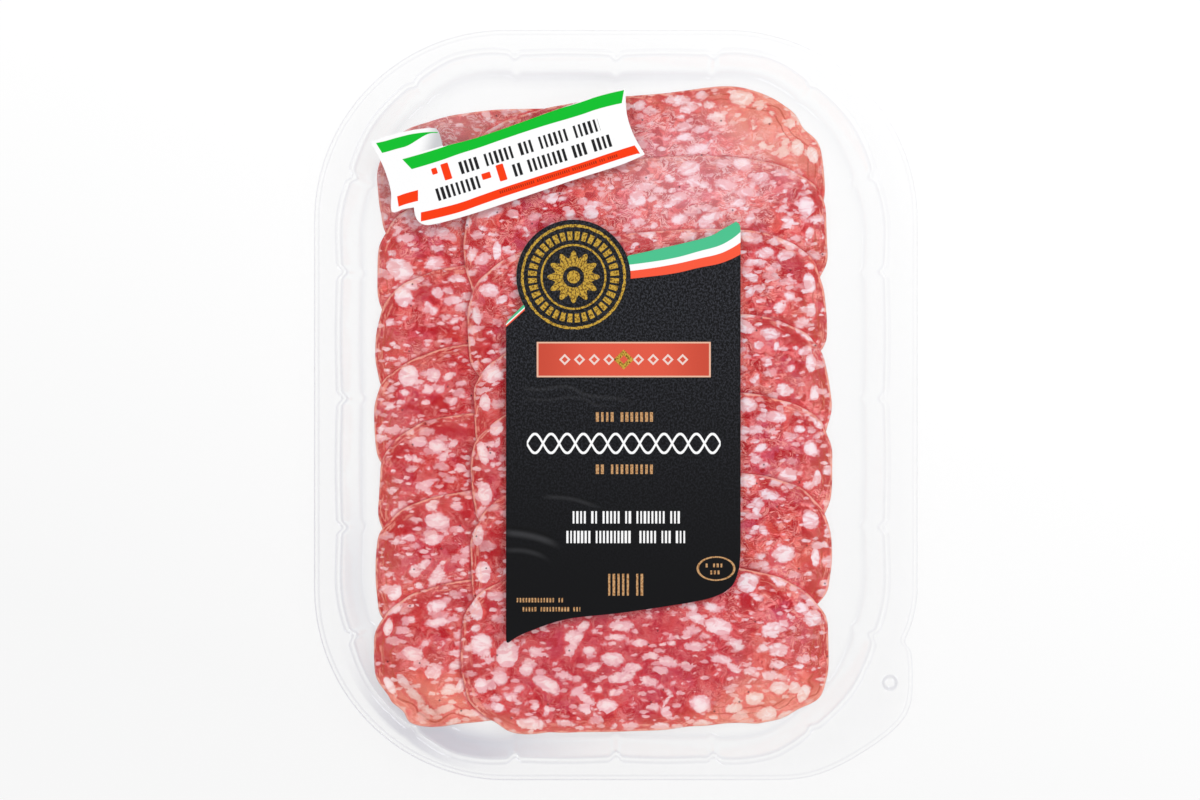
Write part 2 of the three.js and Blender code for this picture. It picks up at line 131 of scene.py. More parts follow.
# The larger pieces of fat that show: x, y, length, width, turn in degrees.
FAT_PIECES = [
    (36.2, 88.3, 6.8, 4.4, -5), (29.1, 82.7, 5.1, 2.9, 5), (23.1, 73.5, 7.0, 3.0, 10),
    (20.9, 67.8, 6.4, 4.2, 15), (36.3, 69.2, 5.4, 3.9, -8), (41.6, 65.4, 4.6, 2.6, 5),
    (31.4, 63.2, 6.0, 2.8, -12), (36.8, 61.0, 5.2, 2.2, -5), (35.3, 57.9, 4.3, 2.2, 20),
    (26.8, 53.3, 8.0, 2.8, 22), (17.8, 87.7, 7.0, 2.7, 0), (20.5, 85.0, 4.6, 2.6, 5),
    (6.6, 86.0, 4.2, 3.0, 0), (19.4, 76.9, 5.0, 2.1, 15), (9.0, 49.0, 5.2, 2.8, -8),
    (6.0, 58.4, 5.2, 4.0, -10), (-7.1, 55.0, 4.5, 3.3, 5), (18.0, 53.2, 4.6, 3.2, 0),
    (-6.5, 57.3, 4.8, 2.3, 10), (-13.1, 54.6, 2.9, 2.6, 40), (-36.4, 55.3, 7.0, 3.0, 20),
    (52.3, 74.1, 3.6, 4.8, 10), (56.6, 72.0, 3.0, 5.2, 18), (50.3, 81.0, 2.4, 2.8, 0),
    (54.7, 57.2, 4.6, 5.5, 12), (49.2, 53.3, 3.8, 2.3, -25), (55.8, 49.4, 2.6, 3.1, 0),
    (37.6, 47.9, 4.4, 2.9, -20), (42.8, 43.6, 5.4, 2.9, 8), (39.0, 40.6, 4.6, 1.8, 5),
    (38.8, 36.5, 4.4, 2.2, -15), (55.6, 35.0, 3.4, 5.7, 15), (49.8, 31.3, 3.6, 2.3, -20),
    (47.0, 28.0, 3.6, 3.1, 0), (56.3, 27.4, 2.9, 4.2, 10), (37.0, 22.4, 5.8, 3.5, -25),
    (44.2, 20.4, 5.6, 3.2, -5), (56.0, 12.2, 3.0, 5.1, 5), (48.6, 4.3, 5.0, 3.8, -12),
    (57.1, 3.5, 2.8, 4.6, -5), (37.8, 0.0, 5.6, 3.9, 10), (46.2, -3.4, 5.6, 3.4, -8),
    (55.9, -12.3, 3.8, 4.5, 0), (58.0, -21.0, 2.4, 4.4, 0), (40.3, -15.8, 3.6, 2.3, -15),
    (49.8, -20.1, 5.6, 3.9, -18), (37.6, -21.5, 5.1, 3.9, 0), (44.0, -25.8, 5.6, 2.8, -12),
    (55.9, -33.0, 4.8, 5.4, 15), (57.4, -43.8, 2.4, 5.6, 0), (48.2, -42.8, 6.6, 5.0, -5),
    (37.8, -50.9, 6.0, 5.4, 10), (56.4, -61.3, 4.9, 4.9, 30), (44.8, -64.3, 6.0, 3.9, 15),
    (46.8, -70.4, 6.2, 3.9, -5), (29.2, -63.3, 8.0, 4.6, -14), (27.6, -58.0, 5.2, 2.4, -25),
    (22.8, -60.8, 5.8, 2.8, -30), (22.6, -69.2, 5.6, 2.6, -5), (34.6, -68.5, 5.6, 3.0, -30),
    (30.3, -73.0, 5.6, 2.3, -12), (33.9, -75.6, 5.0, 1.8, -35), (46.8, -81.4, 4.9, 3.6, 5),
    (39.9, -84.4, 5.1, 3.6, 10), (34.0, -87.2, 5.2, 2.7, 10), (43.9, -89.1, 5.0, 4.5, 20),
    (51.4, -81.3, 3.2, 3.6, 40), (54.0, -82.9, 3.2, 5.0, -25), (24.2, -85.8, 6.0, 5.0, -20),
    (14.8, -73.6, 5.8, 2.7, -10), (9.8, -79.4, 5.4, 2.4, -22), (1.4, -78.2, 7.6, 3.2, 8),
    (4.6, -75.4, 5.0, 2.8, 0), (-1.0, -72.8, 6.6, 4.0, -8), (6.8, -68.2, 4.2, 2.3, 5),
    (1.6, -63.2, 6.6, 3.0, 4), (1.0, -66.4, 5.4, 1.8, -5), (-7.8, -70.6, 4.0, 3.0, 5),
    (-12.0, -66.4, 5.4, 4.0, 5), (-9.2, -63.4, 3.4, 2.6, 30), (-13.2, -70.2, 3.4, 3.0, 50),
    (-23.2, -71.0, 5.2, 2.8, 15), (-25.6, -75.8, 4.4, 3.6, 45), (-19.8, -80.2, 9.4, 4.0, -34),
    (-8.6, -84.4, 5.8, 2.4, -30), (-2.6, -86.4, 5.8, 4.0, -5), (14.4, -88.6, 4.8, 2.3, -40),
    (-24.6, -91.6, 8.4, 3.2, -6), (-31.1, -71.4, 6.2, 8.0, -12), (-38.6, -68.4, 6.4, 5.8, 25),
    (-38.6, -80.6, 3.6, 4.6, 10), (-33.2, -78.4, 4.0, 4.0, 0), (-41.4, -88.6, 7.4, 2.0, -6),
    (-47.8, -82.0, 5.1, 2.9, 10), (-52.6, -77.0, 4.6, 3.8, 0), (-51.3, -62.4, 6.4, 2.9, 12),
    (-51.6, -57.8, 5.8, 3.5, 15), (-40.0, -58.6, 3.6, 6.2, 12), (-38.0, -47.8, 4.4, 6.2, 10),
    (-51.4, -49.2, 5.1, 3.8, 30), (-57.8, -47.8, 3.4, 3.6, 0), (-63.6, -54.0, 3.8, 5.0, -25),
    (-51.2, -33.4, 7.4, 4.6, -12), (-52.4, -38.6, 5.2, 3.4, 10), (-39.4, -37.4, 3.2, 6.0, -8),
    (-37.4, -25.4, 4.2, 6.2, 8), (-53.0, -29.2, 3.6, 2.4, 0), (-51.4, -11.8, 5.2, 3.9, -10),
    (-38.0, -13.8, 3.0, 6.8, 15), (-34.2, -6.6, 4.0, 4.2, 0), (-37.4, 0.6, 3.1, 5.0, 10),
    (-59.6, 8.4, 5.6, 6.2, -20), (-52.4, 8.6, 4.0, 4.0, 0), (-35.4, 8.8, 6.0, 4.6, 15),
    (-62.0, 39.0, 8.4, 5.6, -25), (-52.2, 40.6, 5.8, 2.9, 10), (-49.8, 49.6, 4.0, 2.9, 0),
    (-61.0, 31.2, 5.0, 6.2, 20), (-46.8, 30.0, 5.8, 2.4, 8), (-36.2, 32.8, 5.6, 3.9, -15),
    (-34.0, 44.2, 2.5, 5.2, 0), (-51.2, 32.2, 3.0, 3.5, 20), (-39.8, 25.6, 2.4, 5.2, 10),
    (-64.6, -80.2, 2.4, 5.6, 30), (-58.4, -71.5, 6.2, 4.0, -15), (-61.0, -79.2, 2.2, 5.4, 40),
    (-57.4, -83.4, 6.6, 1.9, -38), (-46.6, -91.0, 3.6, 1.9, 10), (-33.8, -86.8, 4.6, 2.4, -20),
    (-65.4, -63.9, 2.6, 5.2, -10), (-63.8, -58.6, 5.0, 2.6, 25), (-45.9, -74.8, 5.6, 2.2, 12),
    (-44.4, -80.6, 2.4, 4.6, -20), (-49.2, -87.4, 5.2, 2.0, 12), (-53.8, -87.4, 5.4, 1.5, -28),
    (-14.6, -91.4, 5.4, 1.7, -4), (4.2, -92.0, 4.6, 1.6, 0), (24.6, -91.4, 5.0, 1.8, 4),
]

# Soft ovals of the pack where the meat looks different: x, y, half width, half height.
# The first ovals get painted sheen: light off the film where it clings to the meat.
FILM_SHEEN_ZONES = [(22, 66, 36, 24), (-54, 72, 30, 26)]
COOL_ZONES = [(4, -70, 46, 24)]
DARK_ZONES = [(-48, -16, 30, 66), (-8, -74, 64, 28), (-60, -66, 24, 16)]


def outline_points():
    """The flange outline: three round corners and the small peel corner, anticlockwise."""
    points = []
    sx, sy = FLANGE_HALF_W - FLANGE_R, FLANGE_HALF_L - FLANGE_R
    for kx, ky, start in ((1, 1, 0), (-1, 1, 90), (-1, -1, 180)):
        for step in range(0, 91, 2):
            a = math.radians(start + step)
            points.append((kx * sx + FLANGE_R * math.cos(a), ky * sy + FLANGE_R * math.sin(a)))
    return np.array(points + smooth_line(PEEL_CORNER, 4))


def smooth_line(points, steps):
    """A smooth line through the points, with that many steps between two of them."""
    p = [np.array(q, float) for q in points]
    made = []
    for i in range(len(p) - 1):
        p0, p1, p2, p3 = p[max(i - 1, 0)], p[i], p[i + 1], p[min(i + 2, len(p) - 1)]
        v1, v2 = (p2 - p0) / 2, (p3 - p1) / 2
        for k in range(steps):
            t = k / steps
            q = (2 * p1 - 2 * p2 + v1 + v2) * t**3 + (3 * p2 - 3 * p1 - 2 * v1 - v2) * t**2
            made.append(tuple(q + v1 * t + p1))
    return made + [tuple(p[-1])]


def mouth_corner(cx, cy, a):
    """Place and outward normal at an angle round one corner of the mouth."""
    c, s = math.cos(a), math.sin(a)
    return cx + MOUTH_R * c, cy + MOUTH_R * s, c, s


def mouth_place(s):
    """Place and outward normal at a distance round the mouth, which is a rounded rectangle."""
    s %= MOUTH_LENGTH
    sx, sy, arc = MOUTH_SIDE_X, MOUTH_SIDE_Y, MOUTH_ARC
    runs = (
        (2 * sy, lambda t: (sx + MOUTH_R, t - sy, 1, 0)),
        (arc, lambda t: mouth_corner(sx, sy, t / MOUTH_R)),
        (2 * sx, lambda t: (sx - t, sy + MOUTH_R, 0, 1)),
        (arc, lambda t: mouth_corner(-sx, sy, math.pi / 2 + t / MOUTH_R)),
        (2 * sy, lambda t: (-sx - MOUTH_R, sy - t, -1, 0)),
        (arc, lambda t: mouth_corner(-sx, -sy, math.pi + t / MOUTH_R)),
        (2 * sx, lambda t: (t - sx, -sy - MOUTH_R, 0, -1)),
        (arc, lambda t: mouth_corner(sx, -sy, 1.5 * math.pi + t / MOUTH_R)),
    )
    for length, place_at in runs:
        if s <= length:
            return place_at(s)
        s -= length
    return runs[0][1](0)


def rib_places():
    """Distance round the mouth and depth of each rib, in order."""
    ribs = [(k * MOUTH_HALF_W, y, RIB_DEPTH) for y in SIDE_RIBS for k in (1, -1)]
    ribs += [(x, k * MOUTH_HALF_L, RIB_DEPTH) for x in END_RIBS for k in (1, -1)]
    for kx in (1, -1):
        for ky in (1, -1):
            for a, depth in CORNER_RIBS:
                x = kx * (MOUTH_SIDE_X + MOUTH_R * math.cos(math.radians(a)))
                ribs.append((x, ky * (MOUTH_SIDE_Y + MOUTH_R * math.sin(math.radians(a))), depth))
    track = np.array([mouth_place(s) for s in np.arange(0, MOUTH_LENGTH, TRACK_STEP)])
    return sorted(
        (TRACK_STEP * int(np.argmin(np.hypot(track[:, 0] - x, track[:, 1] - y))), depth)
        for x, y, depth in ribs
    )


def mouth_station(s, rib):
    """One station: x, y, normal x, normal y and how far the wall is pressed in there."""
    x, y, nx, ny = mouth_place(s)
    out = np.interp(math.degrees(math.atan2(abs(ny), abs(nx))), *zip(*CORNER_SWELL))
    return x + MOUTH_X + out * nx, y + MOUTH_Y + out * ny, nx, ny, rib


def mouth_stations():
    """Stations round the mouth of the cavity, closer together on the ribs."""
    ribs = rib_places()
    rows = []
    for i, (s, depth) in enumerate(ribs):
        for k in np.linspace(-1, 1, RIB_STATIONS):
            rows.append(mouth_station(s + k * RIB_HALF, depth * 0.5 * (1 + math.cos(math.pi * k))))
        last = ribs[0][0] + MOUTH_LENGTH if i + 1 == len(ribs) else ribs[i + 1][0]
        span = last - s - 2 * RIB_HALF
        steps = max(3, round(span / PANEL_STEP))
        for k in range(1, steps):
            bulge = PANEL_BULGE * math.sin(math.pi * k / steps)
            rows.append(mouth_station(s + RIB_HALF + span * k / steps, -bulge))
    return np.array(rows)


OUTLINE = outline_points()
STATIONS = mouth_stations()

# The flange's rim and the step beside it: distance inwards, height above the low edge, and how
# much painted shade its bend gets.
RIM_STEP = [
    (0.0, -0.1, 1.0), (0.08, -0.02, 1.0), (0.4, 0.0, 0.0), (0.85, 0.0, 0.0),
    (1.05, 0.03, 0.4), (1.25, 0.22, 0.7), (1.45, 0.41, 0.4), (1.7, FLANGE_STEP, 0.0),
]
# The groove beside the mouth: distance inwards, depth, and how much painted shade its bend gets.
GROOVE = [(-1.95, 0.0, 0.0), (-1.75, 0.08, 0.6), (-1.55, 0.2, 0.8), (-1.35, 0.2, 0.5)]
# The wall inside the cavity: distance inwards from the mouth, height, share of the rib's depth,
# and how much painted shade its bend gets.
WALL = [
    (-0.62, FLANGE_Z, 1.0, 0.0), (-0.34, FLANGE_Z - 0.05, 1.0, 0.3),
    (-0.12, FLANGE_Z - 0.2, 1.0, 0.8), (0.04, FLANGE_Z - 0.5, 1.0, 1.0),
    (0.14, FLANGE_Z - 0.95, 1.0, 1.0), (0.26, FLANGE_Z - 1.5, 1.0, 0.6),
    (0.55, 8.1, 0.98, 0.0), (1.2, 6.95, 0.93, 0.0), (2.2, 5.1, 0.85, 0.0), (3.2, 3.2, 0.77, 0.0),
    (3.75, 2.15, 0.73, 0.0), (4.12, 1.45, 0.7, 0.1), (4.5, 0.95, 0.64, 0.35),
    (5.0, 0.6, 0.55, 0.5), (5.7, 0.43, 0.42, 0.2), (6.5, 0.41, 0.3, 0.0), (9.0, SHEET, 0.0, 0.0),
]
# Places round the tray where its wall or flange gets painted shade: middle and reach in degrees,
# strength, and from how far inwards to how far.
SHADE_PATCHES = [(243.0, 16.0, 1.0, -0.4, 8.0), (237.0, 8.0, 0.7, -4.5, 0.8),
          (214.0, 12.0, 0.3, 0.5, 8.0), (92.0, 32.0, 0.3, 3.4, 7.5)]


# ---- mesh helpers -----------------------------------------------------------------------------


def ring(bm, points):
    """A closed ring of vertices at the given places, from a circle."""
    made = bmesh.ops.create_circle(bm, cap_ends=False, segments=len(points), radius=1.0)["verts"]
    return place(list(made), points)


def place(verts, points):
    """Moves the vertices to the places, given in millimetres."""
    for v, p in zip(verts, points):
        v.co = (p[0] * MM, p[1] * MM, p[2] * MM)
    return verts


def ring_edges(loop):
    """The edges between the vertices of a closed ring."""
    pairs = zip(loop, loop[1:] + loop[:1])
    return [next(e for e in a.link_edges if e.other_vert(a) is b) for a, b in pairs]


def boundary_loop(bm):
    """The vertices along an open sheet's border, in order."""
    loop = list(next(e for e in bm.edges if e.is_boundary).verts)
    while True:
        step = next(
            e.other_vert(loop[-1]) for e in loop[-1].link_edges
            if e.is_boundary and e.other_vert(loop[-1]) is not loop[-2]
        )
        if step is loop[0]:
            return loop
        loop.append(step)


def extrude_ring(bm, loop, points):
    """A new ring extruded from the loop, in the same order, at the given places."""
    made = bmesh.ops.extrude_edge_only(bm, edges=ring_edges(loop))["geom"]
    order = {v: i for i, v in enumerate(loop)}
    fresh = [None] * len(loop)
    for v in made:
        if isinstance(v, bmesh.types.BMVert):
            mate = next(e.other_vert(v) for e in v.link_edges if e.other_vert(v) in order)
            fresh[order[mate]] = v
    return place(fresh, points)


def flat_plate(points, low, high):
    """A closed plate between two heights. Gives the mesh and its upper face's edges."""
    bm = bmesh.new()
    loop = ring(bm, [(x, y, high) for x, y in points])
    top = bmesh.ops.contextual_create(bm, geom=ring_edges(loop))["faces"]
    made = bmesh.ops.extrude_face_region(bm, geom=top, use_keep_orig=True)["geom"]
    for v in (g for g in made if isinstance(g, bmesh.types.BMVert)):
        v.co.z = low * MM
    bmesh.ops.recalc_face_normals(bm, faces=bm.faces)
    return bm, ring_edges(loop)


def face_up(bm):
    """Turns an open sheet so that its largest face looks up."""
    bmesh.ops.recalc_face_normals(bm, faces=bm.faces)
    widest = max(bm.faces, key=lambda f: abs(f.normal.z) * f.calc_area())
    if widest.normal.z < 0:
        bmesh.ops.reverse_faces(bm, faces=bm.faces)


def make_object(name, bm, material, slot, *nodes):
    """Finishes a mesh as a piece of the pack that stands for the CAD nodes."""
    mesh = bpy.data.meshes.new(name)
    bm.to_mesh(mesh)
    bm.free()
    mesh.shade_smooth()
    mesh.materials.append(material)
    obj = bpy.data.objects.new(name, mesh)
    bpy.context.scene.collection.objects.link(obj)
    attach(obj, "root")
    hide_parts(*nodes)
    return obj


def shade_flat(obj):
    """Leaves a flat plate without smooth shading over its edges."""
    for face in obj.data.polygons:
        face.use_smooth = False


def float_field(mesh, name, values):
    """Stores one number for each vertex, which the material reads by its name."""
    mesh.attributes.new(name, "FLOAT", "POINT").data.foreach_set(
        "value", np.asarray(values, np.float32).ravel()
    )


def vector_field(mesh, name, values):
    """Stores three numbers for each vertex, which the material reads by their name."""
    mesh.attributes.new(name, "FLOAT_VECTOR", "POINT").data.foreach_set(
        "vector", np.asarray(values, np.float32).ravel()
    )


# ---- node helpers -----------------------------------------------------------------------------


def tone(red, green, blue):
    """A display colour of 0 to 255 as the linear colour that nodes take."""
    return tuple(
        c / 12.92 if c <= 0.04045 else ((c + 0.055) / 1.055) ** 2.4
        for c in (red / 255, green / 255, blue / 255)
    ) + (1.0,)


# Light that the floor gets, as a share of white: print and meat are painted for it.
LIGHT_LEVEL = 1.1


def ink(red, green, blue):
    """A display colour as the colour that shows as such under the scene's light."""
    return tuple(min(0.92, c / LIGHT_LEVEL) for c in tone(red, green, blue)[:3]) + (1.0,)


class Wiring:
    """Short calls that add nodes to a tree and link them. A value may be a number or a socket."""

    def __init__(self, tree):
        self.tree = tree

    def node(self, kind, **settings):
        made = self.tree.nodes.new(kind)
        for name, value in settings.items():
            setattr(made, name, value)
        return made

    def feed(self, socket, value):
        if isinstance(value, bpy.types.NodeSocket):
            self.tree.links.new(value, socket)
        elif value is not None:
            socket.default_value = value

    def math(self, operation, *values, clamp=False):
        made = self.node("ShaderNodeMath", operation=operation, use_clamp=clamp)
        for socket, value in zip(made.inputs, values):
            self.feed(socket, value)
        return made.outputs[0]

    def add(self, a, b):
        return self.math("ADD", a, b)

    def sub(self, a, b):
        return self.math("SUBTRACT", a, b)

    def mul(self, a, b):
        return self.math("MULTIPLY", a, b)

    def both(self, *masks):
        """The smallest of the masks."""
        made = masks[0]
        for mask in masks[1:]:
            made = self.math("MINIMUM", made, mask)
        return made

    def any_of(self, *masks):
        """The largest of the masks."""
        made = masks[0]
        for mask in masks[1:]:
            made = self.math("MAXIMUM", made, mask)
        return made

    def step(self, value, low, high):
        """0 below low and 1 above high, soft between; falls instead where high is below low."""
        made = self.node("ShaderNodeMapRange", interpolation_type="SMOOTHSTEP")
        turned = not isinstance(low, bpy.types.NodeSocket) and high < low
        self.feed(made.inputs["Value"], value)
        self.feed(made.inputs["From Min"], high if turned else low)
        self.feed(made.inputs["From Max"], low if turned else high)
        self.feed(made.inputs["To Min"], 1.0 if turned else 0.0)
        self.feed(made.inputs["To Max"], 0.0 if turned else 1.0)
        return made.outputs["Result"]

    def mix(self, factor, a, b):
        """Colour a where the factor is 0 and colour b where it is 1."""
        made = self.node("ShaderNodeMix", data_type="RGBA")
        self.feed(made.inputs[0], factor)
        self.feed(made.inputs[6], a)
        self.feed(made.inputs[7], b)
        return made.outputs[2]

    def ramp(self, value, *stops):
        """Colours by place along the value, each stop a place and a colour."""
        made = self.node("ShaderNodeValToRGB")
        stopper = made.color_ramp.elements
        while len(stopper) < len(stops):
            stopper.new(0.5)
        for spot, (position, colour) in zip(stopper, stops):
            spot.position, spot.color = position, colour
        self.feed(made.inputs[0], value)
        return made.outputs[0]

    def attribute(self, name):
        """The outputs of a field that the mesh carries."""
        return self.node("ShaderNodeAttribute", attribute_name=name,
                         attribute_type="GEOMETRY").outputs

    def noise(self, vector, scale, detail=2.0, rough=0.5, bend=0.0, space="2D"):
        """Noise as a value and a colour, over the flat of the pack or in space."""
        made = self.node("ShaderNodeTexNoise", noise_dimensions=space)
        self.feed(made.inputs["Vector"], vector)
        for name, value in (
            ("Scale", scale), ("Detail", detail), ("Roughness", rough), ("Distortion", bend)
        ):
            self.feed(made.inputs[name], value)
        return made.outputs[0], made.outputs[1]

    def cells(self, vector, scale):
        """Distance to the middle of the nearest cell, and the cell's own random colour."""
        made = self.node("ShaderNodeTexVoronoi", voronoi_dimensions="2D")
        self.feed(made.inputs["Vector"], vector)
        self.feed(made.inputs["Scale"], scale)
        return made.outputs["Distance"], made.outputs["Color"]

    def vector(self, operation, a, b=None, scale=None):
        made = self.node("ShaderNodeVectorMath", operation=operation)
        self.feed(made.inputs[0], a)
        self.feed(made.inputs[1], b)
        if scale is not None:
            self.feed(made.inputs["Scale"], scale)
        return made.outputs["Vector"]

    def place(self, vector, scale, turn=0.0, shift=(0.0, 0.0, 0.0)):
        """The pattern's place, stretched, turned in degrees and shifted."""
        made = self.node("ShaderNodeMapping")
        self.feed(made.inputs["Vector"], vector)
        made.inputs["Scale"].default_value = scale
        made.inputs["Rotation"].default_value = (0.0, 0.0, math.radians(turn))
        made.inputs["Location"].default_value = shift
        return made.outputs[0]

    def split(self, vector):
        made = self.node("ShaderNodeSeparateXYZ")
        self.feed(made.inputs[0], vector)
        return made.outputs

    def join(self, x, y, z=0.0):
        made = self.node("ShaderNodeCombineXYZ")
        for socket, value in zip(made.inputs, (x, y, z)):
            self.feed(socket, value)
        return made.outputs[0]

    def line(self, x, points):
        """The height at x of a smooth line through the points."""
        xs, ys = [p[0] for p in points], [p[1] for p in points]
        low, high = min(ys) - 1.0, max(ys) + 1.0
        made = self.node("ShaderNodeFloatCurve")
        curve = made.mapping.curves[0]
        spots = [((px - xs[0]) / (xs[-1] - xs[0]), (py - low) / (high - low)) for px, py in points]
        while len(curve.points) < len(spots):
            curve.points.new(0.5, 0.5)
        for spot, where in zip(curve.points, spots):
            spot.location = where
        made.mapping.update()
        share = self.math("DIVIDE", self.sub(x, xs[0]), xs[-1] - xs[0], clamp=True)
        self.feed(made.inputs["Value"], share)
        return self.add(self.mul(made.outputs[0], high - low), low)

    def use(self, group, **inputs):
        """A node group with its inputs by name, with _ for a space."""
        made = self.node("ShaderNodeGroup", node_tree=group)
        for name, value in inputs.items():
            self.feed(made.inputs[name.replace("_", " ")], value)
        return made.outputs


def new_group(name, inputs, outputs):
    """A node group with named inputs (name, kind, default) and outputs (name, kind)."""
    tree = bpy.data.node_groups.new(name, "ShaderNodeTree")
    for label, kind, default in inputs:
        socket = tree.interface.new_socket(
            name=label, in_out="INPUT", socket_type="NodeSocket" + kind
        )
        socket.default_value = default
    for label, kind in outputs:
        tree.interface.new_socket(name=label, in_out="OUTPUT", socket_type="NodeSocket" + kind)
    wiring = Wiring(tree)
    return wiring, wiring.node("NodeGroupInput").outputs, wiring.node("NodeGroupOutput").inputs


def new_material(name, view_colour):
    """A material with an empty tree, its wiring and its output."""
    made = bpy.data.materials.new(name)
    made.use_nodes = True
    made.node_tree.nodes.clear()
    made.diffuse_color = view_colour
    wiring = Wiring(made.node_tree)
    return made, wiring, wiring.node("ShaderNodeOutputMaterial").inputs["Surface"]


def object_mm(wiring):
    """Object coordinates in millimetres."""
    made = wiring.node("ShaderNodeTexCoord")
    return wiring.place(made.outputs["Object"], (1000.0, 1000.0, 1000.0))


# ---- clear plastic ----------------------------------------------------------------------------


RIPPLE_NAME = "clear_plastic_ripple"


def ripple_group():
    """Slow ripples of formed clear plastic."""
    w, given, out = new_group(
        RIPPLE_NAME,
        [("Place", "Vector", (0, 0, 0)), ("Size", "Float", 9.0)],
        [("Height", "Float")],
    )
    wave, _ = w.noise(given["Place"], w.math("DIVIDE", 1.0, given["Size"]), 0.0)
    w.feed(out["Height"], wave)
    return w.tree


def clear_plastic(name, tints, gloss_rough, base_gloss, edge_gloss, ripple, strength):
    """Clear plastic that lets light through and shines more where the surface turns away. The
    second tint is painted shade at its bends, which the mesh marks."""
    group = bpy.data.node_groups.get(RIPPLE_NAME) or ripple_group()
    made, w, surface = new_material(name, (0.9, 0.92, 0.94, 0.3))
    place = object_mm(w)
    wave = w.use(group, Place=place, Size=ripple)
    bump = w.node("ShaderNodeBump")
    bump.inputs["Strength"].default_value = strength
    bump.inputs["Distance"].default_value = 0.4 * MM
    w.feed(bump.inputs["Height"], wave["Height"])
    facing = w.node("ShaderNodeLayerWeight")
    facing.inputs["Blend"].default_value = 0.5
    turned = w.math("POWER", facing.outputs["Facing"], 4.0)
    factor = w.math("MULTIPLY_ADD", turned, edge_gloss, base_gloss)
    through = w.node("ShaderNodeBsdfTransparent")
    if len(tints) > 1:
        # The bend field mixes in the second tint: painted shade along the bends.
        w.feed(through.inputs["Color"], w.mix(w.attribute("bend")["Fac"], *tints))
    else:
        through.inputs["Color"].default_value = tints[0]
    shine = w.node("ShaderNodeBsdfGlossy")
    shine.inputs["Color"].default_value = (0.97, 0.98, 1.0, 1.0)
    shine.inputs["Roughness"].default_value = gloss_rough
    w.feed(shine.inputs["Normal"], bump.outputs[0])
    blend = w.node("ShaderNodeMixShader")
    w.feed(blend.inputs[0], factor)
    w.feed(blend.inputs[1], through.outputs[0])
    w.feed(blend.inputs[2], shine.outputs[0])
    w.feed(surface, blend.outputs[0])
    return made


# ---- salami -----------------------------------------------------------------------------------


def lean_group():
    """Lean meat: broad and fine shades of red, dark pools, and pale fibres bent round each other."""
    w, given, out = new_group(
        "lean_meat",
        [
            ("Grain", "Vector", (0, 0, 0)),
            ("Deep", "Color", (0.4, 0.03, 0.04, 1)),
            ("Red", "Color", (0.6, 0.1, 0.12, 1)),
            ("Pale", "Color", (0.75, 0.35, 0.38, 1)),
            ("Coral", "Color", (0.75, 0.12, 0.08, 1)),
            ("Violet", "Color", (0.5, 0.08, 0.14, 1)),
            ("Strand", "Color", (0.8, 0.4, 0.35, 1)),
        ],
        [("Color", "Color"), ("Fibre", "Float")],
    )
    grain = given["Grain"]
    _, push = w.noise(grain, 0.16, 2.0, 0.6)
    centred = w.vector("SUBTRACT", push, (0.5, 0.5, 0.5))
    bent = w.vector("ADD", grain, w.vector("SCALE", centred, scale=7.0))
    broad, _ = w.noise(bent, 0.15, 2.0, 0.65)
    fine, _ = w.noise(w.place(bent, (0.5, 1.0, 1.0)), 0.8, 2.0, 0.7, 0.8)
    shade = w.add(w.mul(broad, 0.6), w.mul(fine, 0.4))
    colour = w.mix(w.step(shade, 0.455, 0.515), given["Deep"], given["Red"])
    colour = w.mix(w.step(shade, 0.515, 0.575), colour, given["Pale"])
    hue, _ = w.noise(w.vector("ADD", grain, (31.0, 17.0, 5.0)), 0.07, 2.0, 0.65)
    colour = w.mix(w.mul(w.step(hue, 0.5, 0.64), 0.6), colour, given["Violet"])
    colour = w.mix(w.mul(w.step(hue, 0.5, 0.38), 0.6), colour, given["Coral"])
    pools, _ = w.noise(w.vector("ADD", bent, (7.0, 3.0, 9.0)), 0.22, 2.0, 0.65)
    colour = w.mix(w.mul(w.step(pools, 0.53, 0.6), 0.92), colour, given["Deep"])
    # Fibres: thin lines where a stretched noise crosses its middle, at two sizes.
    patch, _ = w.noise(grain, 0.2, 1.0)
    where = w.step(patch, 0.36, 0.52)
    strands = []
    for size, width, shift in ((0.4, 0.036, 0.0), (0.9, 0.045, 40.0)):
        wave, _ = w.noise(w.place(bent, (0.4, 1.0, 1.0), 24.0, (shift, 0.0, 0.0)), size, 2.0,
                          0.55, 1.3)
        strands.append(w.step(w.math("ABSOLUTE", w.sub(wave, 0.5)), width, width * 0.3))
    fibre = w.mul(w.any_of(*strands), where)
    colour = w.mix(w.mul(fibre, 0.8), colour, given["Strand"])
    cracks, _ = w.noise(w.place(bent, (0.5, 1.0, 1.0), -30.0, (9.0, 70.0, 0.0)), 0.6, 2.0, 0.55,
                        1.5)
    crack = w.step(w.math("ABSOLUTE", w.sub(cracks, 0.5)), 0.03, 0.008)
    colour = w.mix(w.mul(crack, 0.8), colour, given["Deep"])
    w.feed(out["Color"], colour)
    w.feed(out["Fibre"], fibre)
    return w.tree


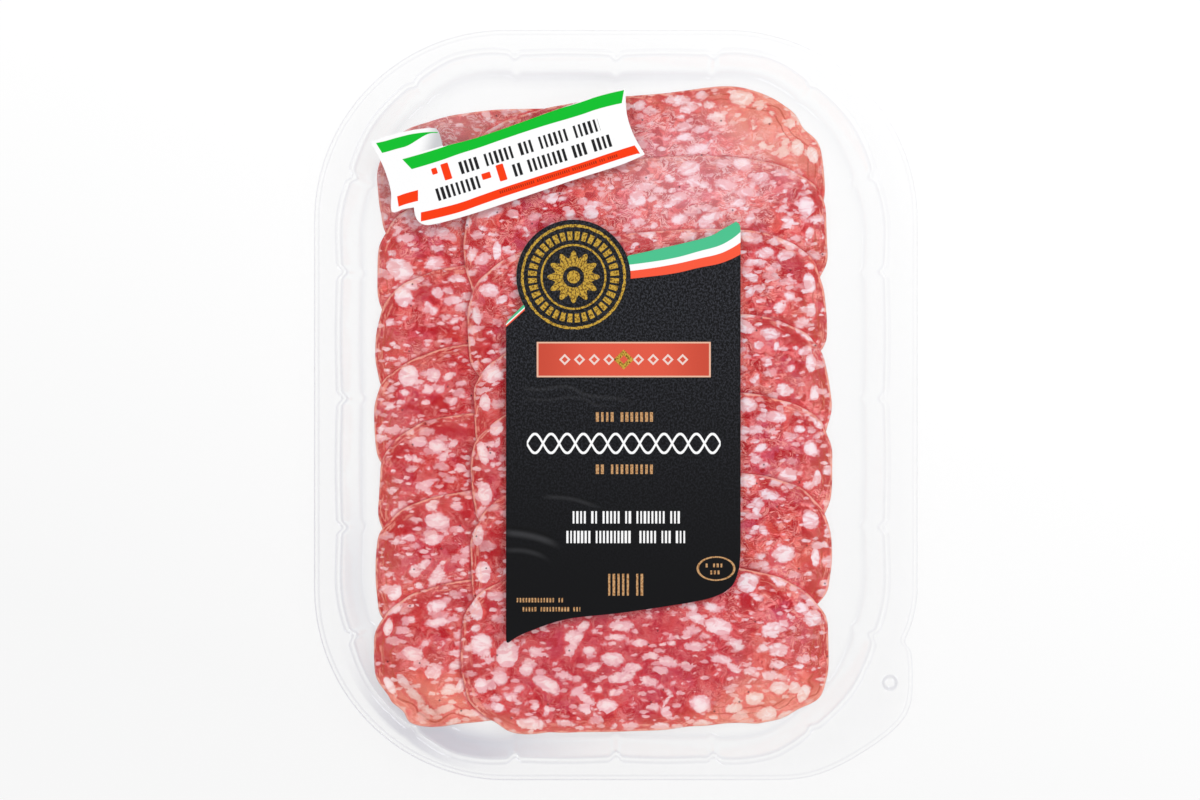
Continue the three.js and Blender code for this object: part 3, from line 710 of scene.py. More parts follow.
def fat_group():
    """Fat: large pieces from a distance field with uneven edges, and flakes between them."""
    w, given, out = new_group(
        "fat_marbling",
        [("Grain", "Vector", (0, 0, 0)), ("Distance", "Float", -1.0)],
        [("Mask", "Float"), ("Light", "Float"), ("Ring", "Float"), ("Core", "Float")],
    )
    grain = given["Grain"]
    lumps, push = w.noise(grain, 0.5, 2.0, 0.6, 0.5)
    nicks, _ = w.noise(grain, 1.7, 2.0, 0.6)
    edge = w.add(given["Distance"], w.mul(w.sub(lumps, 0.5), 1.25))
    edge = w.add(edge, w.mul(w.sub(nicks, 0.5), 0.5))
    soft = w.math("MULTIPLY_ADD", w.split(push)[2], 1.3, -0.35)
    soft = w.math("MAXIMUM", soft, 0.2)
    large = w.step(w.math("DIVIDE", edge, soft), -1.0, 1.0)
    flakes, lights = [], []
    for size, spread, limit, turn, stretch in (
        (0.27, 0.43, 0.42, 25.0, 0.62), (0.58, 0.42, 0.52, -20.0, 0.5)
    ):
        moved = w.vector("ADD", grain, w.vector("SCALE", push, scale=0.6 / size))
        spot, kind = w.cells(w.place(moved, (stretch, 1.1, 0.8), turn), size)
        parts = w.split(kind)
        size_here = w.mul(parts[0], spread)
        flake = w.mul(w.step(w.sub(spot, size_here), 0.11, -0.1),
                      w.step(parts[1], limit, limit + 0.05))
        flakes.append(w.mul(flake, w.math("MULTIPLY_ADD", parts[2], 0.5, 0.5)))
    flake = w.any_of(*flakes)
    glow, _ = w.noise(w.place(grain, (0.6, 1.1, 1.0), 15.0), 0.45, 2.0, 0.6, 0.6)
    w.feed(out["Mask"], w.math("MAXIMUM", large, flake))
    w.feed(out["Light"], w.step(w.add(glow, w.mul(w.step(edge, 0.0, 1.4), 0.12)), 0.42, 0.68))
    w.feed(out["Ring"], w.mul(w.step(edge, -1.0, -0.3), w.step(edge, 0.05, -0.2)))
    # Whiter middle of large fat, in places with a painted highlight.
    w.feed(out["Core"], w.mul(w.step(edge, 0.5, 1.5), w.step(glow, 0.44, 0.6)))
    return w.tree


def rim_group():
    """The thin pale line along a slice's edge, which is painted light on the lit edge, the deep red
    inside it, painted red shade on the lower slice beside the edge over it, painted light through
    the thin edge, the streaks that run along it, and the faint lines of lower edges that show
    through."""
    w, given, out = new_group(
        "slice_rim",
        [("Grain", "Vector", (0, 0, 0)), ("Inset", "Float", 10.0), ("Cover", "Float", 10.0)],
        [("Line", "Float"), ("Deep", "Float"), ("Seam", "Float"), ("Warm", "Float"),
         ("Streak", "Float"), ("Ghost", "Float")],
    )
    grain = given["Grain"]
    jitter, _ = w.noise(grain, 0.6, 1.0)
    uneven = w.add(given["Inset"], w.mul(w.sub(jitter, 0.5), 0.8))
    broken, _ = w.noise(grain, 0.25, 1.0)
    # Painted light: a pale line where the thin rounded edge is lit.
    line = w.mul(w.step(uneven, 0.75, 0.35), w.step(broken, 0.4, 0.56))
    w.feed(out["Line"], w.mul(line, w.step(given["Inset"], 0.04, 0.2)))
    zone, _ = w.noise(grain, 0.12, 1.0)
    band = w.mul(w.step(uneven, 0.3, 0.9), w.step(given["Inset"], 9.0, 2.0))
    band = w.mul(band, w.step(zone, 0.40, 0.54))
    beside = w.mul(w.step(uneven, 0.5, 0.8), w.step(uneven, 1.6, 0.9))
    # Painted shade, red, on a slice where the edge of one over it lies close.
    w.feed(out["Seam"], w.step(w.add(given["Cover"], w.mul(w.sub(jitter, 0.5), 1.2)), 1.0, 0.1))
    w.feed(out["Deep"], w.math("MAXIMUM", band, w.mul(beside, 0.5)))
    # Painted light through the thin edge: orange near the outline.
    w.feed(out["Warm"], w.step(w.add(given["Inset"], w.mul(w.sub(zone, 0.5), 8.0)), 5.0, -0.5))
    u, v, depth = w.split(grain)
    along = w.join(w.add(given["Inset"], w.mul(depth, 7.0)), w.mul(u, 0.16), w.mul(v, 0.16))
    thread, _ = w.noise(along, 1.15, 2.0, 0.6, 1.2, "3D")
    streak = w.mul(w.step(thread, 0.52, 0.6), w.step(given["Inset"], 5.0, 0.8))
    w.feed(out["Streak"], w.mul(streak, w.step(broken, 0.62, 0.46)))
    lines = []
    for inset, reach in ((2.6, 4.0), (4.6, 6.0)):
        away = w.sub(w.add(given["Inset"], w.mul(w.sub(zone, 0.5), reach)), inset)
        lines.append(w.step(w.math("ABSOLUTE", away), 0.3, 0.1))
    w.feed(out["Ghost"], w.any_of(*lines))
    return w.tree


# Colours over the meat: a lower edge that shows through a thin slice, fat with painted light
# through thin single layers, the whitest fat core with painted highlights, painted sheen of the
# film where it clings, fibres in that sheen, and pepper.
GHOST_RED = (0.47, 0.07, 0.035, 1)
BACKLIT_FAT = (0.85, 0.58, 0.46, 1)
FAT_CORE_HIGHLIGHT = (0.92, 0.86, 0.86, 1)
SHEEN_PINK = (0.88, 0.56, 0.59, 1)
SHEEN_FIBRE = (0.92, 0.74, 0.77, 1)
PEPPER = (0.05, 0.015, 0.02, 1)


def salami_colour(w, look, grain):
    """Lean meat with its zones, then fat, then the marks of the rims, haze and pepper."""
    thin, dry, light, cool, dark, distance, inset, cover = (
        w.attribute(name)["Fac"]
        for name in ("thin", "dry", "light", "cool", "dark", "fat", "inset", "cover"))
    deep, red, line_colour = tuple(look.deep), tuple(look.red), tuple(look.line)
    lean = w.use(lean_group(), Grain=grain, Deep=deep, Red=red, Pale=tuple(look.pale),
                 Coral=tuple(look.coral), Violet=tuple(look.violet), Strand=tuple(look.strand))
    fat = w.use(fat_group(), Grain=grain, Distance=distance)
    rim = w.use(rim_group(), Grain=grain, Inset=inset, Cover=cover)

    colour = w.mix(w.mul(cool, 0.3), lean["Color"], tuple(look.violet))
    colour = w.mix(w.mul(dark, 0.46), colour, deep)
    colour = w.mix(w.mul(rim["Deep"], 0.85), colour, deep)
    # Painted light through thin parts, orange: near the rims and on single layers.
    warm = w.math("MAXIMUM", w.mul(rim["Warm"], 0.16), w.mul(dry, 0.85))
    colour = w.mix(warm, colour, w.mix(0.72, colour, tuple(look.warm)))
    colour = w.mix(w.mul(w.mul(rim["Ghost"], thin), 0.75), colour, GHOST_RED)
    colour = w.mix(w.mul(fat["Ring"], 0.4), colour, red)

    fat_dull = tuple(look.fat_dull)
    fat_colour = w.mix(fat["Light"], fat_dull, tuple(look.fat))
    fat_warm = w.mix(fat["Light"], fat_dull, tuple(look.fat_warm))
    fat_colour = w.mix(w.mul(dark, 0.75), fat_colour, fat_warm)
    # Fat gets the painted light through thin parts too.
    fat_colour = w.mix(w.mul(warm, 0.75), fat_colour, BACKLIT_FAT)
    # The fat's whiter core, with painted highlights at places.
    fat_colour = w.mix(w.mul(fat["Core"], 0.5), fat_colour, FAT_CORE_HIGHLIGHT)
    colour = w.mix(w.mul(fat["Mask"], 0.94), colour, fat_colour)

    colour = w.mix(w.mul(rim["Streak"], 0.55), colour, line_colour)
    # Painted sheen of light off the film where it clings, with fibres showing in it; it also weakens
    # the edge marks below.
    colour = w.mix(w.mul(light, 0.24), colour, SHEEN_PINK)
    clinging_sheen = w.mul(w.mul(lean["Fibre"], light), w.sub(1.0, fat["Mask"]))
    colour = w.mix(w.mul(clinging_sheen, 0.5), colour, SHEEN_FIBRE)
    sheened = w.mul(light, 0.5)
    # Painted red shade beside the edge of the slice above.
    colour = w.mix(w.mul(rim["Seam"], w.sub(0.62, sheened)), colour, red)
    # Painted light on the edge's pale line.
    colour = w.mix(w.mul(rim["Line"], w.sub(0.8, sheened)), colour, line_colour)
    near, pick = w.cells(w.place(grain, (1.0, 1.0, 0.6)), 0.11)
    speck = w.mul(w.step(near, 0.04, 0.015), w.step(w.split(pick)[2], 0.55, 0.6))
    return w.mix(w.mul(speck, 0.85), colour, PEPPER)


def salami_material(look):
    """Moist sliced salami, with low relief of its fat and a fine grain."""
    made, w, surface = new_material("salami_slice", (0.7, 0.25, 0.25, 1))
    grain = w.attribute("grain")["Vector"]
    wet, _ = w.noise(grain, 0.9, 2.0, 0.6)
    lumps = w.step(w.attribute("fat")["Fac"], -0.4, 0.3)
    bump = w.node("ShaderNodeBump")
    bump.inputs["Strength"].default_value = 0.7
    bump.inputs["Distance"].default_value = look.relief
    w.feed(bump.inputs["Height"], w.add(w.mul(lumps, 0.35), w.mul(wet, 0.8)))

    skin = w.node("ShaderNodeBsdfPrincipled")
    w.feed(skin.inputs["Base Color"], salami_colour(w, look, grain))
    w.feed(skin.inputs["Roughness"], w.math("MULTIPLY_ADD", wet, 0.3, 0.16))
    skin.inputs["Specular IOR Level"].default_value = 0.1
    skin.inputs["Coat Weight"].default_value = 0.06
    skin.inputs["Coat Roughness"].default_value = 0.12
    w.feed(skin.inputs["Normal"], bump.outputs[0])
    w.feed(surface, skin.outputs[0])
    return made


# ---- how the slices lie -----------------------------------------------------------------------

# Height field of the pack's inside, on which the slices are laid one after another.
CELL = 0.5
COLS, ROWS = 360, 440
LEFT_X, LOW_Y = -90.0, -110.0
# Height outside a slice while it is laid, below anything in the pack.
NOTHING = -5.0
# Cells over which a slice bridges what is under it, and the size of its own waves.
SAG_CELLS, WAVE_SIZE = 5, 11.0
# How many places are measured at a time.
PART = 4000


def cell_places():
    """x and y of the middle of every cell."""
    xs = LEFT_X + (np.arange(COLS) + 0.5) * CELL
    ys = LOW_Y + (np.arange(ROWS) + 0.5) * CELL
    return np.meshgrid(xs, ys)


def cavity_heights(x, y):
    """Height of the tray's inside at each place, from the nearest station of the mouth."""
    flat = np.stack([x.ravel(), y.ravel()], 1)
    depth = np.empty(len(flat))
    st = STATIONS[::2]
    for start in range(0, len(flat), PART):
        part = flat[start:start + PART]
        gap = part[:, None, :] - st[None, :, :2]
        near = np.argmin((gap**2).sum(2), 1)
        rows = np.arange(len(part))
        inward = -(gap[rows, near] * st[near, 2:4]).sum(1)
        depth[start:start + PART] = inward - 0.8 * np.maximum(st[near, 4], 0)
    line = [(-1.0, FLANGE_Z)] + [(d, z) for d, z, _, _ in WALL if d > -0.5]
    return np.interp(depth, *zip(*line)).reshape(x.shape)


def slice_frame(shape, x, y):
    """Places in the slice's own frame: from its middle, before its turn."""
    a = math.radians(shape.turn)
    dx, dy = x - shape.x, y - shape.y
    return dx * math.cos(a) + dy * math.sin(a), dy * math.cos(a) - dx * math.sin(a)


def pack_frame(shape, u, v):
    """Places in the pack's frame, from places in the slice's own."""
    a = math.radians(shape.turn)
    return (shape.x + u * math.cos(a) - v * math.sin(a),
            shape.y + u * math.sin(a) + v * math.cos(a))


def rim_wave(a, phase):
    """Swell of a slice's outline at an angle: slow and quick waves, and its own bumps."""
    wave = 1 + 0.006 * np.sin(3 * a + phase) + 0.004 * np.sin(5 * a + 2.3 * phase)
    wave = wave + 0.003 * np.sin(11 * a + 3.1 * phase) + 0.0025 * np.sin(19 * a + 1.3 * phase)
    for middle, height, width in RIM_BUMPS.get(round(phase / PHASE_STEP), ()):
        away = (a - math.radians(middle) + math.pi) % math.tau - math.pi
        wave = wave + height * np.exp(-(away / math.radians(width)) ** 2)
    return wave


def corner_power(shape, c, s):
    """Squareness of the corner that the direction c, s points to."""
    upper = np.where(c >= 0, shape.upper_right, shape.upper_left)
    lower = np.where(c >= 0, shape.lower_right, shape.lower_left)
    return np.where(s >= 0, upper, lower)


def slice_reach(shape, phase, x, y):
    """How far out a place is: 0 in the middle of the slice and 1 on its outline."""
    u, v = slice_frame(shape, x, y)
    u, v = u / shape.half_width, v / shape.half_height
    p = corner_power(shape, u, v)
    r = (np.abs(u) ** p + np.abs(v) ** p) ** (1 / p) + 1e-9
    c = np.sign(u) * np.abs(u / r) ** (p / 2)
    s = np.sign(v) * np.abs(v / r) ** (p / 2)
    return r / rim_wave(np.arctan2(s, c), phase)


def slice_rim(shape, phase, a):
    """Places on the slice's outline, in its own frame."""
    c, s = np.cos(a), np.sin(a)
    p = corner_power(shape, c, s)
    wave = rim_wave(a, phase)
    return (
        shape.half_width * wave * np.sign(c) * np.abs(c) ** (2 / p),
        shape.half_height * wave * np.sign(s) * np.abs(s) ** (2 / p),
    )


def box_filter(field, radius, reduce):
    """Runs reduce over a square window, first along the rows and then along the columns."""
    for axis in (0, 1):
        pad = [(radius, radius) if k == axis else (0, 0) for k in (0, 1)]
        wide = np.pad(field, pad, mode="edge")
        size = field.shape[axis]
        parts = [np.take(wide, range(k, k + size), axis) for k in range(2 * radius + 1)]
        field = reduce(np.stack(parts), 0)
    return field


def soft_noise(x, y, size, seed):
    """Smooth values from 0 to 1 with features of that size."""
    rng = np.random.default_rng(seed)
    made = np.zeros_like(x)
    for k in range(7):
        a = rng.uniform(0, math.tau)
        f = rng.uniform(0.6, 1.5) * math.tau / (2 * size)
        made += np.sin(f * (x * math.cos(a) + y * math.sin(a)) + rng.uniform(0, math.tau))
    return np.clip(0.5 + made / 7, 0, 1)


def sample(field, x, y):
    """Bilinear sample of a field of cells."""
    i = np.clip((x - LEFT_X) / CELL - 0.5, 0, COLS - 1.001)
    j = np.clip((y - LOW_Y) / CELL - 0.5, 0, ROWS - 1.001)
    i0, j0 = i.astype(int), j.astype(int)
    fi, fj = i - i0, j - j0
    low = field[j0, i0] * (1 - fi) + field[j0, i0 + 1] * fi
    high = field[j0 + 1, i0] * (1 - fi) + field[j0 + 1, i0 + 1] * fi
    return low * (1 - fj) + high * fj


def lay_slices(waviness):
    """Lays each slice over what is under it. Gives each slice's underside as a field, the index
    of the top slice and the number of layers at each cell."""
    x, y = cell_places()
    heights = cavity_heights(x, y)
    undersides = []
    top, layers = np.full(x.shape, -1), np.zeros(x.shape)
    for k, (_, shape) in enumerate(SLICES):
        inside = slice_reach(shape, PHASE_STEP * k, x, y) < 1.0
        held = np.where(inside, heights, NOTHING)
        lifted = box_filter(held, SAG_CELLS, np.max)
        weight = box_filter(inside.astype(float), SAG_CELLS, np.mean)
        soft = box_filter(np.where(inside, lifted, 0.0), SAG_CELLS, np.mean)
        soft = np.where(weight > 1e-6, soft / np.maximum(weight, 1e-6), lifted)
        under = np.maximum(soft, held) + SLICE_GAP
        under = under + waviness * soft_noise(x, y, WAVE_SIZE, 40 + k)
        undersides.append(under)
        heights = np.where(inside, under + SLICE_T, heights)
        top = np.where(inside, k, top)
        layers += inside
    return undersides, top, layers


# Pieces of fat that are scattered in a log of salami.
LOG_PIECES = 900


def scattered_fat(seed):
    """Random pieces of fat in a log of salami: x, y, slice, half length, half width, half depth
    in slices, turn."""
    rng = np.random.default_rng(seed)
    made = []
    for _ in range(LOG_PIECES):
        half = 0.42 + 1.5 * rng.random() ** 2.2
        made.append((
            rng.uniform(-53, 53), rng.uniform(-26, 26), rng.uniform(-2, 9),
            half * rng.uniform(1.0, 2.1), half, 0.5 + half * rng.uniform(0.8, 1.6),
            rng.normal(0, 32),
        ))
    return np.array(made)


def fat_distance(x, y, pieces):
    """Distance into the nearest ellipse, positive inside. Each piece: x, y, half length, half
    width, turn, share of its size at this slice."""
    made = np.full(x.shape, -4.0)
    for px, py, a, b, turn, share in pieces:
        c, s = math.cos(math.radians(turn)), math.sin(math.radians(turn))
        dx, dy = x - px, y - py
        u, v = (dx * c + dy * s) / (a * share), (dy * c - dx * s) / (b * share)
        made = np.maximum(made, (1 - np.sqrt(u * u + v * v)) * b * share)
    return made


def edge_distance(x, y, shape, phase):
    """Distance from each place to the slice's outline."""
    a = np.linspace(0, math.tau, 720, endpoint=False)
    u, v = slice_frame(shape, x, y)
    ru, rv = slice_rim(shape, phase, a)
    made = np.empty(len(x))
    for start in range(0, len(x), PART):
        part = slice(start, start + PART)
        gap = (u[part, None] - ru) ** 2 + (v[part, None] - rv) ** 2
        made[part] = np.sqrt(gap.min(1))
    return made


def cover_distance(k, x, y):
    """Distance to the edge of the nearest slice that lies over this one."""
    made = np.full(len(x), 20.0)
    for j in range(k + 1, len(SLICES)):
        shape, phase, tiny = SLICES[j][1], PHASE_STEP * j, 0.1
        reach = slice_reach(shape, phase, x, y)
        slope = np.hypot(slice_reach(shape, phase, x + tiny, y) - reach,
                         slice_reach(shape, phase, x, y + tiny) - reach) / tiny
        made = np.minimum(made, np.maximum((reach - 1) / np.maximum(slope, 1e-3), 0.0))
    return made


def backlit_places(x, y):
    """Where single layers get painted light through them, orange: the upper right and the lower end
    of the pack.
    """
    corner = np.clip(1.6 - np.hypot(x - 46, (y - 82) * 0.8) / 17, 0, 1)
    foot = np.clip((-74 - y) / 9, 0, 1)
    return np.maximum(0.22, np.maximum(corner, foot))


def zone_field(x, y, zones):
    """1 in the middle of the soft ovals and 0 outside them."""
    made = np.zeros(len(x))
    for cx, cy, half_width, half_height in zones:
        away = np.hypot((x - cx) / half_width, (y - cy) / half_height)
        made = np.maximum(made, np.clip(1.6 * (1 - away), 0, 1))
    return made


# A slice's rounded edge, from its upper face to its lower one: how far in and how high.
SLICE_EDGE = [(0.2, -0.07), (0.03, -0.3), (0.0, -0.7), (0.03, -1.1), (0.2, -1.33), (0.5, -SLICE_T)]


def slice_place(shape, phase, corner, inset, z):
    """Place of a corner of the square grid from -1 to 1, bent to the outline less the inset."""
    u, v = corner
    dx, dy = u * math.sqrt(1 - v * v / 2), v * math.sqrt(1 - u * u / 2)
    rim_x, rim_y = slice_rim(shape, phase, np.array(math.atan2(dy, dx)))
    r = math.hypot(dx, dy) * (1 - inset / math.hypot(rim_x, rim_y))
    x, y = pack_frame(shape, r * float(rim_x), r * float(rim_y))
    return x, y, z


def slice_mesh(shape, phase, under, across, along):
    """One slice as a closed sheet: a grid bent to the outline, a rounded edge and a lower side.
    Gives the mesh, and x, y and the distance from the outline of its vertices."""
    bm = bmesh.new()
    bmesh.ops.create_grid(bm, x_segments=across, y_segments=along, size=1.0)
    corners = {v: (v.co.x, v.co.y) for v in bm.verts}
    widest = SLICE_EDGE[-1][0]
    place(list(corners), [slice_place(shape, phase, c, widest, 0.0) for c in corners.values()])
    loop = boundary_loop(bm)
    marks = [corners[v] for v in loop]
    lower = bmesh.ops.duplicate(bm, geom=list(bm.faces))
    lower_faces = [g for g in lower["geom"] if isinstance(g, bmesh.types.BMFace)]
    for v in {v for f in lower_faces for v in f.verts}:
        v.co.z = -SLICE_T * MM
    for inset, z in SLICE_EDGE:
        loop = extrude_ring(bm, loop, [slice_place(shape, phase, c, inset, z) for c in marks])
    bmesh.ops.remove_doubles(bm, verts=bm.verts, dist=0.002 * MM)
    bmesh.ops.recalc_face_normals(bm, faces=bm.faces)
    x, y, z = np.array([v.co for v in bm.verts]).T / MM
    inset = edge_distance(x, y, shape, phase)
    sunk = EDGE_DROP * np.clip(1 - inset / EDGE_WIDTH, 0, 1) ** 2 * (1 + z / SLICE_T)
    for v, height in zip(bm.verts, sample(under, x, y) + SLICE_T - sunk):
        v.co.z += height * MM
    return bm, x, y, inset


# ---- stickers ---------------------------------------------------------------------------------


# Middle and radius of the seal, and the middle of the rest of the main sticker's print.
SEAL, SEAL_R = (-12.1, 36.5), 16.3
PANEL = (2.2, 12.95)


def main_sticker_outline():
    """The main sticker's outline: its slanted foot, right side, wave, and the seal's round edge."""
    points = smooth_line(
        [(-30.6, -67.7), (-26.2, -65.1), (-14.5, -61.1), (0, -59.4), (13.4, -57.5),
         (26.6, -55.1), (33.0, -51.6), (35.2, -46.0)], 6)
    points += [(35.5, -42), (35.5, 49.4), (35.4, 50.9), (35.0, 51.7)]
    points += smooth_line([(34.2, 52.3), (30.5, 50.2), (25.4, 47.7), (10.0, 44.0), (3.6, 42.6)], 6)
    cx, cy = SEAL
    start = math.atan2(42.2 - cy, 3.3 - cx)
    stop = math.atan2(28.6 - cy, -26.3 - cx) + math.tau
    for a in np.linspace(start, stop, 60):
        points.append((cx + SEAL_R * math.cos(a), cy + SEAL_R * math.sin(a)))
    points += [(-31.0, 23.9), (-31.35, 23.1), (-31.35, -66.9), (-31.2, -67.5), (-30.9, -67.75)]
    return points


def banner_outline():
    """The ribbon sticker's outline, from its upper left corner round its folded tail and ends."""
    tail = smooth_line([(-70.1, 75.0), (-63.8, 77.1), (-57.6, 78.4), (-52.3, 78.95),
                        (-50.7, 78.2), (-50.0, 76.4), (-49.3, 73.7)], 4)
    top = smooth_line([(-49.3, 73.7), (-40.2, 76.0), (-27.4, 80.4), (-16.0, 84.5),
                       (-4.6, 88.2), (2.3, 90.0)], 4)
    end = smooth_line([(2.8, 90.05), (2.82, 85.8), (3.4, 81.5), (5.3, 76.4), (8.2, 71.5)], 4)
    foot = smooth_line([(7.9, 71.2), (1.1, 68.3), (-10.3, 64.7), (-24.5, 59.9), (-38.8, 55.1),
                        (-47.3, 52.6), (-52.4, 51.4), (-54.7, 51.4), (-56.4, 52.4),
                        (-57.3, 54.3), (-57.6, 56.3)], 4)
    left = smooth_line([(-60.7, 55.8), (-63.9, 55.1), (-64.1, 60.4), (-65.3, 65.3),
                        (-67.4, 70.3), (-70.1, 75.0)], 4)
    return (tail[:-1] + top + end + foot + left[:-1])[::-1]


def sticker_mesh(points):
    """A thin die-cut plate with softened edges."""
    bm, rims = flat_plate(points, STICKER_Z, STICKER_Z + STICKER_T)
    bmesh.ops.bevel(bm, geom=rims, offset=0.05 * MM, segments=2, profile=0.5,
                    affect="EDGES", material=-1, offset_type="OFFSET")
    bmesh.ops.triangulate(bm, faces=[f for f in bm.faces if len(f.verts) > 4])
    return bm


# ---- print of the stickers --------------------------------------------------------------------

# Half width of the soft edge of a printed shape.
SOFT = 0.05


def box_group():
    """A filled rectangle with round corners."""
    w, given, out = new_group(
        "print_box",
        [("X", "Float", 0), ("Y", "Float", 0), ("Middle X", "Float", 0), ("Middle Y", "Float", 0),
         ("Half width", "Float", 5), ("Half height", "Float", 1), ("Corner", "Float", 0.1)],
        [("Mask", "Float")],
    )
    sides = []
    for place_name, middle, half in (("X", "Middle X", "Half width"),
                                     ("Y", "Middle Y", "Half height")):
        away = w.math("ABSOLUTE", w.sub(given[place_name], given[middle]))
        beyond = w.sub(away, w.sub(given[half], given["Corner"]))
        sides.append(w.math("MAXIMUM", beyond, 0.0))
    length = w.math("SQRT", w.add(w.mul(sides[0], sides[0]), w.mul(sides[1], sides[1])))
    w.feed(out["Mask"], w.step(w.sub(length, given["Corner"]), SOFT, -SOFT))
    return w.tree


def ring_group():
    """A round or oval line."""
    w, given, out = new_group(
        "print_ring",
        [("X", "Float", 0), ("Y", "Float", 0), ("Middle X", "Float", 0), ("Middle Y", "Float", 0),
         ("Radius X", "Float", 5), ("Radius Y", "Float", 5), ("Half line", "Float", 0.3)],
        [("Mask", "Float"), ("Radius", "Float"), ("Angle", "Float")],
    )
    dx = w.math("DIVIDE", w.sub(given["X"], given["Middle X"]), given["Radius X"])
    dy = w.math("DIVIDE", w.sub(given["Y"], given["Middle Y"]), given["Radius Y"])
    radius = w.math("SQRT", w.add(w.mul(dx, dx), w.mul(dy, dy)))
    smaller = w.math("MINIMUM", given["Radius X"], given["Radius Y"])
    away = w.mul(w.math("ABSOLUTE", w.sub(radius, 1.0)), smaller)
    w.feed(out["Mask"], w.step(w.sub(away, given["Half line"]), SOFT, -SOFT))
    w.feed(out["Radius"], radius)
    w.feed(out["Angle"], w.math("ARCTAN2", dy, dx))
    return w.tree


def blocks_group():
    """A row of plain blocks of uneven width, with gaps."""
    w, given, out = new_group(
        "print_blocks",
        [("X", "Float", 0), ("Y", "Float", 0), ("Left", "Float", 0), ("Right", "Float", 10),
         ("Middle Y", "Float", 0), ("Half height", "Float", 1), ("Pitch", "Float", 1),
         ("Seed", "Float", 0)],
        [("Mask", "Float")],
    )
    along = w.math("DIVIDE", w.sub(given["X"], given["Left"]), given["Pitch"])
    number = w.math("FLOOR", along)
    inside = w.math("FRACT", along)
    dice = w.node("ShaderNodeTexWhiteNoise", noise_dimensions="2D")
    w.feed(dice.inputs["Vector"], w.join(number, given["Seed"]))
    width = w.math("MULTIPLY_ADD", dice.outputs[0], 0.25, 0.4)
    away = w.mul(w.math("ABSOLUTE", w.sub(inside, 0.5)), given["Pitch"])
    block = w.step(w.sub(away, w.mul(w.mul(width, 0.5), given["Pitch"])), SOFT, -SOFT)
    present = w.math("GREATER_THAN", dice.outputs[0], 0.14)
    beside = w.math("ABSOLUTE", w.sub(given["Y"], given["Middle Y"]))
    tall = w.step(w.sub(beside, given["Half height"]), SOFT, -SOFT)
    ends = w.mul(w.math("GREATER_THAN", given["X"], given["Left"]),
                 w.math("LESS_THAN", given["X"], given["Right"]))
    w.feed(out["Mask"], w.mul(w.mul(block, present), w.mul(tall, ends)))
    return w.tree


def paper_group():
    """Fine speckled grain of printed paper."""
    w, given, out = new_group(
        "paper_grain",
        [("Place", "Vector", (0, 0, 0))],
        [("Grain", "Float"), ("Height", "Float")],
    )
    fine, _ = w.noise(given["Place"], 1.5, 3.0, 0.7)
    weave, _ = w.noise(w.place(given["Place"], (1.0, 0.5, 1.0)), 3.4, 2.0)
    both = w.add(w.mul(fine, 0.6), w.mul(weave, 0.4))
    w.feed(out["Grain"], w.step(both, 0.44, 0.62))
    w.feed(out["Height"], w.mul(both, 0.12))
    return w.tree


def wrinkle_group():
    """A soft ridge along a given height, between two ends, with a fold above it for painted shade.
    """
    w, given, out = new_group(
        "sticker_wrinkle",
        [("X", "Float", 0), ("Above", "Float", 0), ("Left", "Float", 0), ("Right", "Float", 10),
         ("Half width", "Float", 1)],
        [("Ridge", "Float"), ("Fold", "Float")],
    )
    start = w.step(w.sub(given["X"], given["Left"]), 0.0, 4.0)
    end = w.step(w.sub(given["Right"], given["X"]), 0.0, 6.0)
    share = w.math("DIVIDE", given["Above"], given["Half width"])
    ridge = w.step(w.math("ABSOLUTE", share), 1.0, 0.0)
    fold = w.step(w.math("ABSOLUTE", w.sub(share, 1.1)), 0.8, 0.0)
    w.feed(out["Ridge"], w.mul(w.mul(start, end), ridge))
    w.feed(out["Fold"], w.mul(w.mul(start, end), fold))
    return w.tree


class Pen:
    """Calls that draw printed shapes at places x and y of a sticker, in millimetres."""

    def __init__(self, wiring, groups, x, y):
        self.w, self.groups, self.x, self.y = wiring, groups, x, y

    def box(self, cx, cy, half_width, half_height, corner=0.15):
        """A filled rectangle."""
        return self.w.use(self.groups["box"], X=self.x, Y=self.y, Middle_X=cx, Middle_Y=cy,
                          Half_width=half_width, Half_height=half_height, Corner=corner)["Mask"]

    def ring(self, middle, radius_x, radius_y, half_line):
        """An oval line, with the radius and angle of each place about its middle."""
        return self.w.use(self.groups["ring"], X=self.x, Y=self.y, Middle_X=middle[0],
                          Middle_Y=middle[1], Radius_X=radius_x, Radius_Y=radius_y,
                          Half_line=half_line)

    def row(self, left, right, cy, half_height, pitch, seed):
        """A row of plain blocks."""
        return self.w.use(self.groups["blocks"], X=self.x, Y=self.y, Left=left, Right=right,
                          Middle_Y=cy, Half_height=half_height, Pitch=pitch, Seed=seed)["Mask"]

    def rows(self, places):
        """Several rows of plain blocks."""
        return self.w.any_of(*(self.row(*values) for values in places))

    def stripe(self, points, thick, left, right, lean):
        """A band that hangs from a line through the points, with slanted ends."""
        w = self.w
        down = w.sub(w.line(self.x, points), self.y)
        mask = w.mul(w.step(down, -SOFT, SOFT), w.step(w.sub(down, thick), SOFT, -SOFT))
        start = w.sub(self.x, w.math("MULTIPLY_ADD", down, lean[0], left))
        end = w.sub(w.math("MULTIPLY_ADD", down, lean[1], right), self.x)
        return w.mul(mask, w.mul(w.step(start, -SOFT, SOFT), w.step(end, -SOFT, SOFT)))


